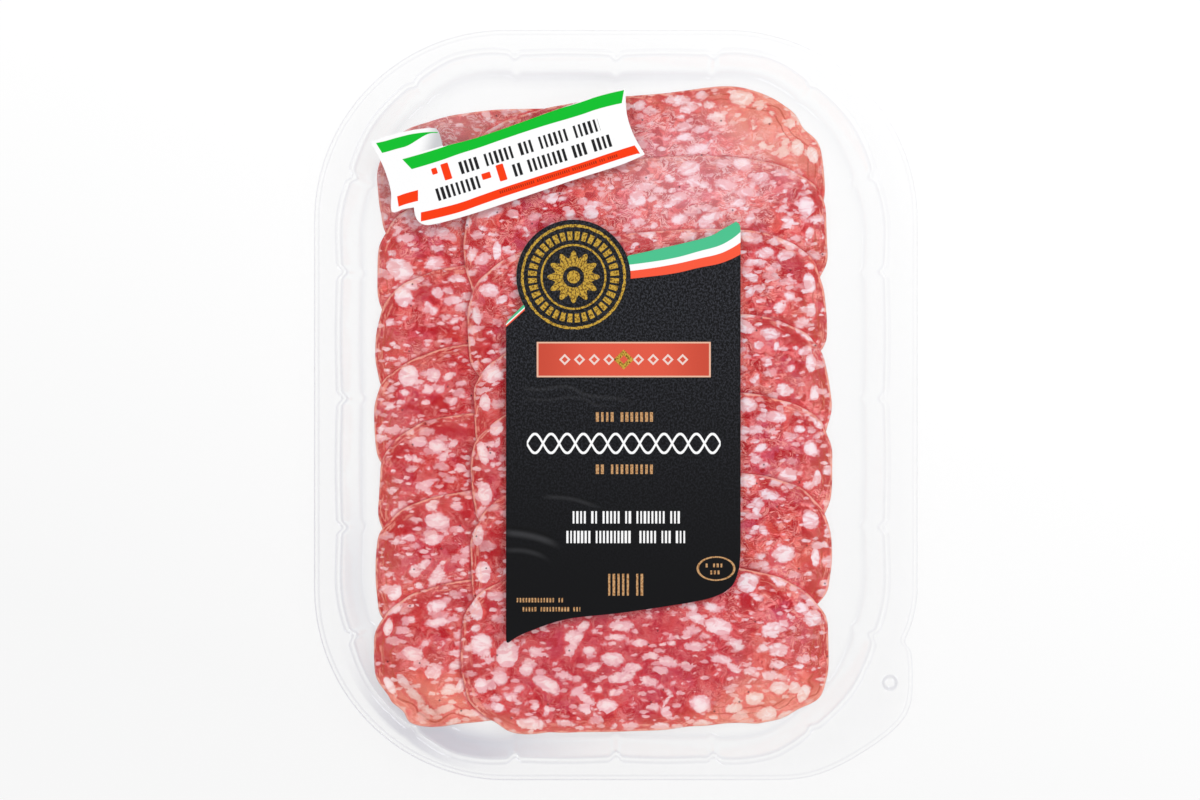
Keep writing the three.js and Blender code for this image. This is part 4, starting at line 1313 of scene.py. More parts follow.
def sticker_finish(w, surface, colour, height, rough, distance):
    """Printed paper with a low sheen."""
    bump = w.node("ShaderNodeBump")
    bump.inputs["Strength"].default_value = 0.6
    bump.inputs["Distance"].default_value = distance
    w.feed(bump.inputs["Height"], height)
    paper = w.node("ShaderNodeBsdfPrincipled")
    w.feed(paper.inputs["Base Color"], colour)
    w.feed(paper.inputs["Roughness"], rough)
    paper.inputs["Specular IOR Level"].default_value = 0.11
    w.feed(paper.inputs["Normal"], bump.outputs[0])
    w.feed(surface, paper.outputs[0])


# The wave of the main sticker: each band's colour, its lower edge, and its height on the short
# end left of the seal. They are painted over each other in this order.
WAVE_BANDS = [
    ("red_print", -1.5, [(2, 35.8), (8, 36.4), (17, 37.6), (24, 39.2), (29.1, 40.2), (32, 41.2),
                         (35.6, 43.0)]),
    ("white", -1.0, [(2, 38.0), (8, 38.7), (17, 40.2), (24, 41.8), (29.1, 43.0), (32, 44.2),
                     (35.6, 46.4)]),
    ("green_print", -0.6, [(2, 39.8), (8, 40.5), (17, 42.0), (24, 43.9), (29.1, 45.3), (32, 46.7),
                           (35.6, 49.4)]),
]
# Pitch of the lozenges on the panel, and height, pitch, rise and half length of the ornament.
LOZENGE_PITCH = 4.2
ORNAMENT_Y, ORNAMENT_PITCH, ORNAMENT_RISE, ORNAMENT_HALF = -10.95, 9.2, 2.7, 27.6
# Rows of blocks on the main sticker: left, right, height, half height of a block, pitch, seed.
GOLD_ROWS = [
    (-6.0, 10.8, -3.4, 1.35, 1.4, 4.0), (-6.0, 10.8, -18.3, 1.35, 1.4, 10.0),
    (-2.6, 8.0, -51.2, 3.1, 1.33, 12.0), (-28.5, -15.1, -55.6, 0.62, 0.85, 3.0),
    (-28.5, -10.2, -58.2, 0.62, 0.85, 5.0), (25.3, 31.7, -45.7, 0.55, 1.05, 7.0),
    (26.6, 30.6, -47.7, 0.55, 1.05, 8.0),
]
WHITE_ROWS = [(-13.7, 18.5, -32.0, 1.75, 1.07, 14.0), (-15.4, 20.2, -37.6, 1.75, 1.04, 21.0)]
# Wrinkles at the main sticker's left: line, half width, left and right end, strength.
WRINKLES = [
    ([(-29, 5.6), (-22, 4.4), (-15, 5.2), (-8, 2.6), (0, 1.8), (9, 0.2)], 0.9, -28, 6, 0.4),
    ([(-29, 2.2), (-20, 1.4), (-12, 2.2), (-5, -0.2), (3, -1.0)], 0.7, -28, 0, 0.3),
    ([(-22, -26.3), (-14, -26.6), (-8, -28.2), (-2, -30.4)], 0.9, -22, -3, 0.5),
    ([(-31, -36.4), (-25, -37.2), (-20, -38.6), (-15, -41.0)], 1.5, -33, -15, 1.0),
    ([(-31, -41.4), (-25, -41.8), (-18, -45.0)], 1.1, -33, -18, 0.6),
]


def paint_wave(pen, colour, look):
    """Tricolour wave along the upper right edge, and its short end left of the seal."""
    w = pen.w
    right = w.math("GREATER_THAN", pen.x, 2.6)
    left = w.mul(w.math("LESS_THAN", pen.x, -26.0), w.math("GREATER_THAN", pen.y, 20.0))
    slope = w.sub(pen.y, w.math("MULTIPLY_ADD", pen.x, 0.9, 51.9))
    for name, start, points in WAVE_BANDS:
        paint = tuple(getattr(look, name))
        above = w.step(w.sub(pen.y, w.line(pen.x, points)), -SOFT, SOFT)
        colour = w.mix(w.mul(above, right), colour, paint)
        beyond = w.step(slope, start - SOFT, start + SOFT)
        colour = w.mix(w.mul(beyond, left), colour, paint)
    return colour


def paint_seal(pen, colour, field, foil, place_mm):
    """Black disc with two gold rings, a wreath of short ticks and a plain rosette."""
    w = pen.w
    disc = w.step(pen.ring(SEAL, SEAL_R, SEAL_R, 0.1)["Radius"], 1.002, 0.996)
    colour = w.mix(w.mul(disc, w.math("GREATER_THAN", pen.y, 20.0)), colour, field)
    wobble, _ = w.noise(place_mm, 0.8, 2.0)
    outer = pen.ring(SEAL, 14.6, 14.6, w.math("MULTIPLY_ADD", wobble, 0.5, 0.12))
    inner = pen.ring(SEAL, 9.1, 9.1, 0.28)
    radius, angle = outer["Radius"], outer["Angle"]
    turns = w.math("DIVIDE", angle, math.tau)
    tick = w.math("ABSOLUTE", w.sub(w.math("FRACT", w.mul(turns, 36.0)), 0.5))
    wreath = w.mul(w.step(tick, 0.36, 0.3),
                   w.mul(w.step(radius, 0.715, 0.725), w.step(radius, 0.895, 0.885)))
    petals = w.math("COSINE", w.mul(angle, 12.0))
    edge = w.math("MULTIPLY_ADD", petals, 0.07, 0.44)
    rosette = w.mul(w.step(w.sub(radius, edge), 0.01, -0.01), w.step(radius, 0.2, 0.215))
    veins = w.step(w.math("ABSOLUTE", petals), 0.12, 0.3)
    rosette = w.mul(rosette, w.math("MULTIPLY_ADD", veins, 0.75, 0.25))
    eye = w.step(radius, 0.13, 0.12)
    return w.mix(w.any_of(outer["Mask"], inner["Mask"], wreath, rosette, eye), colour, foil)


def paint_panel(pen, colour, foil, look):
    """Red panel with a pale border and a row of plain lozenges, the middle one gold."""
    w = pen.w
    across = w.sub(pen.x, PANEL[0])
    beside, above = w.math("ABSOLUTE", across), w.math("ABSOLUTE", w.sub(pen.y, PANEL[1]))
    colour = w.mix(pen.box(*PANEL, 24.8, 5.05), colour, tuple(look.panel_edge))
    shade = w.mul(w.step(beside, 8.0, 26.0), 0.6)
    panel = w.mix(shade, tuple(look.panel), ink(186, 62, 44))
    colour = w.mix(pen.box(*PANEL, 24.3, 4.6, 0.05), colour, panel)
    along = w.add(w.math("DIVIDE", across, LOZENGE_PITCH), 0.5)
    to_middle = w.mul(w.math("ABSOLUTE", w.sub(w.math("FRACT", along), 0.5)), LOZENGE_PITCH)
    line = w.step(w.math("ABSOLUTE", w.sub(w.add(to_middle, above), 1.25)), 0.42, 0.32)
    within = w.math("LESS_THAN", beside, 18.8)
    colour = w.mix(w.mul(line, within), colour, ink(240, 214, 206))
    centre = w.add(beside, above)
    colour = w.mix(w.step(centre, 2.9, 2.8), colour, foil)
    return w.mix(w.step(centre, 1.3, 1.2), colour, panel)


def paint_ornament(pen, colour, look):
    """Large white ornament of two waves that cross."""
    w = pen.w
    across, up = w.sub(pen.x, PANEL[0]), w.sub(pen.y, ORNAMENT_Y)
    turn = w.mul(across, math.tau / ORNAMENT_PITCH)
    wave = w.mul(w.math("SINE", turn), ORNAMENT_RISE)
    width = w.math("MULTIPLY_ADD", w.math("ABSOLUTE", w.math("COSINE", turn)), 0.3, 0.32)
    strands = []
    for sign in (1.0, -1.0):
        away = w.math("ABSOLUTE", w.sub(up, w.mul(wave, sign)))
        strands.append(w.step(w.sub(away, width), 0.06, -0.06))
    wide = w.math("LESS_THAN", w.math("ABSOLUTE", across), ORNAMENT_HALF)
    return w.mix(w.mul(w.any_of(*strands), wide), colour, tuple(look.white))


def wrinkle_masks(pen):
    """Ridges with a painted highlight, and the folds above them with painted shade."""
    w = pen.w
    ridges, folds = [], []
    for points, half_width, left, right, strength in WRINKLES:
        above = w.sub(pen.y, w.line(pen.x, points))
        made = w.use(pen.groups["wrinkle"], X=pen.x, Above=above, Left=left, Right=right,
                     Half_width=half_width)
        ridges.append(w.mul(made["Ridge"], strength))
        folds.append(w.mul(made["Fold"], strength))
    return w.any_of(*ridges), w.any_of(*folds)


def main_sticker_material(look, groups):
    """Black field with a wave, a seal, a red panel, an ornament, rows of marks and wrinkles."""
    made, w, surface = new_material("dark_sticker", (0.02, 0.02, 0.022, 1))
    place_mm = object_mm(w)
    x, y = w.split(place_mm)[0:2]
    pen = Pen(w, groups, x, y)
    paper = w.use(groups["paper"], Place=place_mm)
    grain = paper["Grain"]
    # Paper speckle, fading in towards the upper end as painted sheen.
    speckle_and_sheen = w.mul(grain, w.step(y, -60.0, 45.0))
    field = w.mix(speckle_and_sheen, tuple(look.black), tuple(look.black_speck))
    foil = w.mix(w.step(grain, 0.35, 0.62), tuple(look.foil), ink(116, 84, 24))
    colour = paint_wave(pen, field, look)
    colour = paint_seal(pen, colour, field, foil, place_mm)
    colour = paint_panel(pen, colour, foil, look)
    colour = paint_ornament(pen, colour, look)
    gold = w.mix(w.step(grain, 0.3, 0.7), tuple(look.gold), ink(160, 112, 66))
    oval = pen.ring((28.5, -46.6), 5.2, 3.3, 0.2)["Mask"]
    colour = w.mix(w.any_of(pen.rows(GOLD_ROWS), oval), colour, gold)
    colour = w.mix(pen.rows(WHITE_ROWS), colour, tuple(look.white))
    ridge, fold = wrinkle_masks(pen)
    # Painted highlight on the ridges and painted shade in the folds.
    colour = w.mix(w.mul(ridge, 0.05), colour, tone(200, 200, 206))
    colour = w.mix(w.mul(fold, 0.45), colour, (0.0, 0.0, 0.0, 1.0))
    height = w.add(paper["Height"], w.sub(w.mul(ridge, 0.8), w.mul(fold, 0.4)))
    rough = w.math("MULTIPLY_ADD", grain, 0.2, 0.4)
    sticker_finish(w, surface, colour, height, rough, 0.5 * MM)
    return made


# Stripes of the ribbon sticker: upper edge, thickness, left and right end, lean of the ends.
GREEN_STRIPE = (
    [(-61, 70.0), (-50.2, 73.2), (-44.5, 75.2), (-38.8, 77.0), (-33.1, 79.0), (-21.7, 82.8),
     (-10.3, 86.2), (-4.6, 88.1), (3, 89.9)], 3.6, -60.9, 2.3, (0.75, -0.18))
RED_STRIPE = (
    [(-56, 54.8), (-50.2, 56.1), (-44.5, 57.6), (-38.8, 59.6), (-33.1, 61.6), (-21.7, 65.3),
     (-10.3, 68.9), (1.1, 72.7), (6, 74.2)], 2.6, -55.6, 5.3, (0.0, 0.6))
RED_STUB = (
    [(-66, 58.9), (-62.7, 59.4), (-60, 60.3), (-55, 61.6)], 3.1, -62.4, -56.4, (0.15, 0.0))
TAIL_LINE = [(-70, 74.4), (-66.7, 75.0), (-61.6, 76.4), (-57, 77.4), (-52.4, 77.8), (-50, 77.7)]
# The ribbon's rows of blocks, and single red ones: middle, half width and half height. They lie
# along its own slant.
RIBBON_TURN = -17.5
RIBBON_ROWS = [
    (-22.4, 19.4, 77.7, 1.8, 1.48, 31.0), (-31.0, -17.9, 72.4, 1.8, 1.48, 36.0),
    (-8.1, 21.6, 72.4, 1.8, 1.48, 33.0),
]
RIBBON_BLOCKS = [
    (-26.1, 78.0, 1.1, 2.4), (-11.2, 73.0, 1.1, 2.4), (-29.3, 79.1, 0.8, 0.9),
    (-15.6, 73.4, 1.3, 0.9),
]
SMALL_ROW = (-13.5, 22.0, 67.7, 0.4, 0.62, 40.0)


def paint_tail(pen, colour, look):
    """Folded tail: its own ends of the two stripes and the shade of the fold."""
    w, x, y = pen.w, pen.x, pen.y
    thick = w.math("MULTIPLY_ADD", w.step(x, -60.5, -52.0), -2.9, 3.2)
    tail = pen.stripe(TAIL_LINE, thick, -68.4, -50.6, (0.55, -1.2))
    colour = w.mix(tail, colour, tuple(look.green))
    colour = w.mix(pen.stripe(*RED_STUB), colour, tuple(look.red))
    beside = w.sub(x, w.mul(w.sub(y, 75.0), 0.3))
    fold = w.mul(w.step(beside, -56.0, -50.6), w.step(x, -49.0, -49.4))
    above = w.step(w.sub(y, w.math("MULTIPLY_ADD", x, 0.27, 87.2)), -0.1, 0.1)
    fold = w.both(fold, above, w.sub(1.0, tail))
    return w.mix(w.mul(fold, 0.6), colour, tone(150, 152, 158))


def paint_ribbon_rows(pen, colour, red_stripe, look):
    """Two rows of plain blocks with red ones among them, and a small row on the red stripe."""
    w = pen.w
    colour = w.mix(pen.rows(RIBBON_ROWS), colour, tone(24, 24, 27))
    blocks = w.any_of(*(pen.box(*values, 0.3) for values in RIBBON_BLOCKS))
    colour = w.mix(blocks, colour, tuple(look.red))
    small = w.mul(pen.row(*SMALL_ROW), w.mul(red_stripe, 0.7))
    return w.mix(small, colour, tone(110, 30, 12))


def banner_material(look, groups):
    """White ribbon with a green and a red stripe, a folded tail and slanted rows of marks."""
    made, w, surface = new_material("ribbon_sticker", (0.9, 0.9, 0.9, 1))
    place_mm = object_mm(w)
    x, y = w.split(place_mm)[0:2]
    pen = Pen(w, groups, x, y)
    paper = w.use(groups["paper"], Place=place_mm)
    grain = paper["Grain"]
    colour = w.mix(grain, tuple(look.white), tone(246, 246, 246))
    colour = w.mix(pen.stripe(*GREEN_STRIPE), colour, tuple(look.green))
    red_stripe = pen.stripe(*RED_STRIPE)
    colour = w.mix(red_stripe, colour, tuple(look.red))
    colour = paint_tail(pen, colour, look)
    u, v = w.split(w.place(place_mm, (1.0, 1.0, 1.0), RIBBON_TURN))[0:2]
    colour = paint_ribbon_rows(Pen(w, groups, u, v), colour, red_stripe, look)
    rough = w.math("MULTIPLY_ADD", grain, 0.15, 0.3)
    sticker_finish(w, surface, colour, paper["Height"], rough, 0.3 * MM)
    return made


# ---- properties -------------------------------------------------------------------------------


def colour_property(name, description, colour):
    """A colour that a user can change, with its default."""
    return FloatVectorProperty(name=name, description=description, default=colour, size=4,
                               min=0.0, max=1.0, subtype="COLOR")


class SALAMIPACK_PG_plastic(bpy.types.PropertyGroup):
    """Clear tray and lid film."""

    sheet: FloatProperty(name="Sheet", description="Thickness of the tray's sheet",
                         default=SHEET * MM, min=0.0001, max=0.001, unit="LENGTH", precision=5)
    tray_tint: colour_property("Tray tint", "Colour of light that one face of the tray lets "
                               "through", (0.997, 0.997, 0.998, 1))
    # Painted shade where the sheet bends.
    bend_shade_tint: colour_property("Bend tint", "The same where the sheet bends",
                               (0.83, 0.825, 0.86, 1))
    film_tint: colour_property("Film tint", "Colour of light that one face of the film lets "
                               "through", (0.998, 0.998, 0.998, 1))
    gloss: FloatProperty(name="Gloss roughness", description="Roughness of the plastic's shine",
                         default=0.06, min=0.0, max=1.0, subtype="FACTOR")


class SALAMIPACK_PG_meat(bpy.types.PropertyGroup):
    """Salami slices."""

    deep: colour_property("Deep red", "Darkest lean meat", (0.44, 0.006, 0.012, 1))
    red: colour_property("Red", "Middle lean meat", (0.71, 0.068, 0.08, 1))
    pale: colour_property("Pale", "Palest lean meat", (0.82, 0.215, 0.225, 1))
    coral: colour_property("Coral", "Warm parts of the lean meat", (0.76, 0.10, 0.07, 1))
    violet: colour_property("Violet", "Cool parts of the lean meat", (0.57, 0.08, 0.145, 1))
    strand: colour_property("Strand", "Thin pale fibres", (0.84, 0.34, 0.31, 1))
    # Orange of the painted light that comes through thin parts of the meat.
    warm: colour_property("Warm", "Orange of thin and dry parts", (0.86, 0.31, 0.22, 1))
    fat: colour_property("Fat", "Lightest fat", (0.91, 0.75, 0.82, 1))
    fat_warm: colour_property("Warm fat", "Lightest fat at the lower left", (0.88, 0.56, 0.55, 1))
    fat_dull: colour_property("Dull fat", "Fat under a film of lean meat", (0.81, 0.44, 0.48, 1))
    # Colour of the painted light on a slice's edge, also used for the streaks along it.
    line: colour_property("Edge line", "Thin line on a slice's edge", (0.88, 0.40, 0.31, 1))
    relief: FloatProperty(name="Relief", description="Height of the surface's fine relief",
                          default=0.25 * MM, min=0.0, max=0.001, unit="LENGTH", precision=5)
    waviness: FloatProperty(name="Waviness", description="How far a slice rises and falls",
                            default=0.12 * MM, min=0.0, max=0.001, unit="LENGTH", precision=5)
    across: IntProperty(name="Cells across", description="Grid cells across a slice",
                        default=132, min=8, max=200)
    along: IntProperty(name="Cells along", description="Grid cells along a slice",
                       default=62, min=8, max=120)


class SALAMIPACK_PG_print(bpy.types.PropertyGroup):
    """Print of the two stickers."""

    black: colour_property("Black", "Field of the main sticker", (0.0012, 0.0013, 0.0022, 1))
    black_speck: colour_property("Black speckle", "Lighter grain of the black field",
                                 (0.0340, 0.0360, 0.0455, 1))
    gold: colour_property("Gold", "Small gold print", ink(205, 160, 112))
    foil: colour_property("Foil", "Gold of the seal", ink(206, 166, 62))
    white: colour_property("White", "White print", (0.9, 0.9, 0.9, 1))
    panel: colour_property("Panel", "Red panel", ink(226, 90, 68))
    panel_edge: colour_property("Panel border", "Pale border of the red panel",
                                ink(236, 186, 160))
    green_print: colour_property("Wave green", "Green of the wave", ink(75, 195, 143))
    red_print: colour_property("Wave red", "Red of the wave", ink(251, 89, 59))
    green: colour_property("Ribbon green", "Green of the ribbon", ink(0, 192, 44))
    red: colour_property("Ribbon red", "Red of the ribbon", ink(252, 59, 4))


class SALAMIPACK_PG_stage(bpy.types.PropertyGroup):
    """Floor, light and camera."""

    floor: colour_property("Floor", "Colour of the floor", (0.18, 0.18, 0.18, 1))
    glow: FloatProperty(name="Floor glow", description="Light that the floor itself gives",
                        default=0.785, min=0.0)
    slant: FloatProperty(name="Floor slant", description="How much more the floor gives at the "
                         "upper end, and less at the lower left", default=0.05, min=0.0)
    key: FloatProperty(name="Key light", description="Power of the light from the upper right",
                       default=5.0, min=0.0, subtype="POWER", unit="POWER")
    fill: FloatProperty(name="Fill lights", description="Power of each of the other lights",
                        default=1.9, min=0.0, subtype="POWER", unit="POWER")
    sky: FloatProperty(name="Sky", description="Strength of the even light all round",
                       default=0.8, min=0.0)


# ---- operators --------------------------------------------------------------------------------


class SALAMIPACK_OT_tray(bpy.types.Operator):
    """Forms the clear tray from rings extruded inwards from its outline"""

    bl_idname = "salamipack.tray"
    bl_label = "Clear Tray"

    def execute(self, context):
        look = context.scene.salamipack_plastic
        reach = flange_reach()
        columns = [tray_column(st, r) for st, r in zip(STATIONS, reach)]
        bm = bmesh.new()
        # Each vertex's share of painted shade at the bends.
        bend = bm.verts.layers.float.new("bend")
        loop = ring(bm, [c[0] for c in columns])
        for j in range(len(columns[0])):
            if j:
                loop = extrude_ring(bm, loop, [c[j] for c in columns])
            for v, column in zip(loop, columns):
                v[bend] = column[j][3]
        bmesh.ops.contextual_create(bm, geom=ring_edges(loop))
        self.press_dimple(bm, bend)
        face_up(bm)
        tints = tuple(look.tray_tint), tuple(look.bend_shade_tint)
        material = clear_plastic("clear_tray", tints, look.gloss, base_gloss=0.016,
                                 edge_gloss=0.3, ripple=16.0, strength=0.3)
        tray = make_object("tray_formed", bm, material, "clear_tray", "tray")
        shell = tray.modifiers.new("sheet", "SOLIDIFY")
        shell.thickness = look.sheet
        shell.offset = -1.0
        shell.use_even_offset = True
        return {"FINISHED"}

    @staticmethod
    def press_dimple(bm, bend):
        """The round dimple in the peel corner, and the painted shade of the bend round it."""
        cx, cy = DIMPLE

        def away(v):
            return math.hypot(v.co.x / MM - cx, v.co.y / MM - cy)

        edges = [e for e in bm.edges if max(away(v) for v in e.verts) < 5.0]
        bmesh.ops.subdivide_edges(bm, edges=edges, cuts=5, use_grid_fill=True)
        for v in bm.verts:
            r = away(v)
            if r < DIMPLE_R + 0.5:
                share = min(1.0, max(0.0, (DIMPLE_R + 0.35 - r) / (0.35 * DIMPLE_R + 0.35)))
                v.co.z -= DIMPLE_DEPTH * share * share * (3 - 2 * share) * MM
                # Painted shade in a ring round the dimple.
                v[bend] = 2.4 * share * (1 - share)


def flange_reach():
    """Distance from each station along its normal to the flange outline."""
    start, side = OUTLINE, np.roll(OUTLINE, -1, 0) - OUTLINE
    made = []
    for x, y, nx, ny, _ in STATIONS:
        det = side[:, 0] * ny - side[:, 1] * nx
        det = np.where(np.abs(det) < 1e-9, np.nan, det)
        t = (side[:, 0] * (start[:, 1] - y) - side[:, 1] * (start[:, 0] - x)) / det
        u = (nx * (start[:, 1] - y) - ny * (start[:, 0] - x)) / det
        hit = (t > 0) & (u >= -1e-9) & (u <= 1 + 1e-9)
        made.append(np.min(np.where(hit, t, np.inf)))
    return made


def bend_shade_strength(turn):
    """How much painted shade a bend gets at an angle round the tray: most at the lower left, away
    from the key light.
    """
    return 0.14 + 0.72 * (0.5 + 0.5 * math.cos(math.radians(turn - 215))) ** 2


def tray_column(station, reach):
    """Places down the sheet's inner face at a station, from the flange's rim to the floor, each
    with how much painted shade it gets."""
    x, y, nx, ny, rib = station
    low = FLANGE_Z - FLANGE_STEP
    turn = math.degrees(math.atan2(y, x)) % 360
    clear = bend_shade_strength(turn)
    # Distance inwards, height, share of the rib's depth, and how much painted shade the bend gets:
    # the rim and the step beside it, the flat flange, the groove beside the mouth, and the wall.
    line = [(d - reach, low + rise, 0, share * clear) for d, rise, share in RIM_STEP]
    start, stop = 2.3 - reach, -2.4
    line += [(start + (stop - start) * k / 5, FLANGE_Z, 0.8 * k / 5, 0) for k in range(6)]
    line += [(d, FLANGE_Z - drop, 1, share * clear) for d, drop, share in GROOVE]
    line += [(-1.15, FLANGE_Z - 0.08, 1, 0.1), (-0.95, FLANGE_Z, 1, 0)]
    line += [(d, z, share, bend * (0.12 + 0.88 * clear)) for d, z, share, bend in WALL]
    made = []
    for d, z, share, bend in line:
        inward = d + rib * share
        # Painted shade: that of the bend, or that of a patch where it is more.
        shown = max(0.7 * bend, patch_shade(turn, d))
        made.append((x - nx * inward, y - ny * inward, z, shown))
    return made


def patch_shade(turn, inward):
    """How much painted shade the tray gets at an angle round it and a distance inwards from its
    mouth.
    """
    made = 0.0
    for middle, reach, strength, start, stop in SHADE_PATCHES:
        enter = min(1.0, max(0.0, (inward - start) / 0.8))
        leave = min(1.0, max(0.0, (stop - inward) / (0.5 * (stop - start))))
        made = max(made, strength * enter * leave * math.exp(-((turn - middle) / reach) ** 2))
    return made


class SALAMIPACK_OT_film(bpy.types.Operator):
    """Lays the clear lid film on the flange"""

    bl_idname = "salamipack.film"
    bl_label = "Lid Film"

    def execute(self, context):
        look = context.scene.salamipack_plastic
        back, ahead = np.roll(OUTLINE, 1, 0), np.roll(OUTLINE, -1, 0)
        along = ahead - back
        along /= np.linalg.norm(along, axis=1)[:, None]
        inner = OUTLINE + FILM_INSET * np.stack([-along[:, 1], along[:, 0]], 1)
        bm, _ = flat_plate(inner, FILM_Z, FILM_Z + FILM_T)
        bmesh.ops.triangulate(bm, faces=[f for f in bm.faces if len(f.verts) > 4])
        material = clear_plastic("clear_film", (tuple(look.film_tint),), 0.1, base_gloss=0.006,
                                 edge_gloss=0.4, ripple=24.0, strength=0.15)
        shade_flat(make_object("lid_film_sealed", bm, material, "clear_film", "lid_film"))
        return {"FINISHED"}


# Seeds of the two logs of salami that the rows are cut from.
LOG_SEEDS = (5, 8)
# A scattered piece with a half width above this gives way where the listed ones show.
LARGE_FAT = 1.15
# Cells over which the edge of a place where one slice lies alone is softened.
ALONE_CELLS = 6


def cell_of(x, y):
    """Column and row of the cell at a place."""
    return int((x - LEFT_X) / CELL), int((y - LOW_Y) / CELL)


def passing_fat(loose, order, shape, mine, showing):
    """The scattered pieces that this slice cuts through, apart from large ones where the
    listed ones show."""
    made = []
    for u, v, at, half_long, half_wide, half_deep, turn in loose:
        off = abs(order - at) / half_deep
        if off >= 1:
            continue
        share = math.sqrt(1 - off * off)
        x, y = pack_frame(shape, u, v)
        i, j = cell_of(x, y)
        if 0 <= i < COLS and 0 <= j < ROWS and showing[j, i]:
            if half_wide * share > LARGE_FAT:
                continue
            if any(math.hypot((x - px) / (pa / 2 + half_long), (y - py) / (pb / 2 + half_wide))
                   < 1.05 for px, py, pa, pb, _ in mine):
                continue
        made.append((u, v, half_long, half_wide, turn, share))
    return made


class SALAMIPACK_OT_slices(bpy.types.Operator):
    """Lays the two rows of salami slices over each other"""

    bl_idname = "salamipack.slices"
    bl_label = "Salami Slices"

    def execute(self, context):
        look = context.scene.salamipack_meat
        undersides, top, layers = lay_slices(look.waviness / MM)
        material = salami_material(look)
        alone = box_filter((layers < 1.5).astype(float), ALONE_CELLS, np.mean)
        logs = [scattered_fat(seed) for seed in LOG_SEEDS]
        owner = []
        for x, y, _, _, _ in FAT_PIECES:
            i, j = cell_of(x, y)
            owner.append(int(top[j, i]))
        for k, (name, shape) in enumerate(SLICES):
            bm, x, y, inset = slice_mesh(shape, PHASE_STEP * k, undersides[k], look.across,
                                         look.along)
            piece = make_object(name + "_slice", bm, material, "salami", name)
            mine = [p for p, o in zip(FAT_PIECES, owner) if o == k]
            log, order = divmod(k, len(LEFT_SLICES))
            loose = passing_fat(logs[log], order, shape, mine, top == k)
            self.mark_fields(piece.data, k, (x, y), inset, (mine, loose), sample(alone, x, y))
            highest = max(vert.co.z for vert in piece.data.vertices) / MM
            if highest > FILM_Z:
                raise RuntimeError(f"{name} stands {highest - FILM_Z:.2f} mm into the film")
        return {"FINISHED"}

    @staticmethod
    def mark_fields(mesh, k, places, inset, fat_pieces, thin):
        """Stores what the material reads: fat, edges, thin places and the painted light through
        them, zones and grain.
        """
        x, y = places
        mine, loose = fat_pieces
        u, v = slice_frame(SLICES[k][1], x, y)
        placed = [(px, py, a / 2, b / 2, turn, 1.0) for px, py, a, b, turn in mine]
        fat = np.maximum(fat_distance(x, y, placed), fat_distance(u, v, loose))
        fields = {
            "fat": fat, "inset": inset, "cover": cover_distance(k, x, y),
            "thin": thin, "dry": thin * backlit_places(x, y),
            # The light field carries the painted film sheen.
            "light": zone_field(x, y, FILM_SHEEN_ZONES), "cool": zone_field(x, y, COOL_ZONES),
            "dark": zone_field(x, y, DARK_ZONES),
        }
        for name, values in fields.items():
            float_field(mesh, name, values)
        grain = np.stack([u + 131.0 * k, v + 57.0 * k, np.full(len(x), float(k))], 1)
        vector_field(mesh, "grain", grain)


class SALAMIPACK_OT_stickers(bpy.types.Operator):
    """Sticks the dark sticker and the ribbon sticker on the film"""

    bl_idname = "salamipack.stickers"
    bl_label = "Stickers"

    def execute(self, context):
        look = context.scene.salamipack_print
        groups = {"box": box_group(), "ring": ring_group(), "blocks": blocks_group(),
                  "paper": paper_group(), "wrinkle": wrinkle_group()}
        for name, outline, material, slot, node in (
            ("main_sticker", main_sticker_outline(), main_sticker_material(look, groups),
             "dark_sticker", "label_main"),
            ("banner_sticker", banner_outline(), banner_material(look, groups),
             "ribbon_sticker", "label_banner"),
        ):
            shade_flat(make_object(name, sticker_mesh(outline), material, slot, node))
        return {"FINISHED"}


# Places of the lamps in metres, and the property with their power. They all look at the pack.
LAMPS = (
    ("key_light", (0.5, 0.55, 1.2), "key"),
    ("fill_left", (-0.6, 0.4, 1.2), "fill"),
    ("fill_front", (-0.35, -0.62, 1.2), "fill"),
    ("fill_right", (0.62, -0.35, 1.2), "fill"),
)
LAMP_SIZE = 0.5
CAMERA_PLACE, CAMERA_LENS = (-4.56 * MM, 1.43 * MM, 0.9099), 94.7
# The floor's glow grows this way across the pack, over this many millimetres.
SLANT_X, SLANT_Y, SLANT_REACH = 0.35, 0.94, 110.0


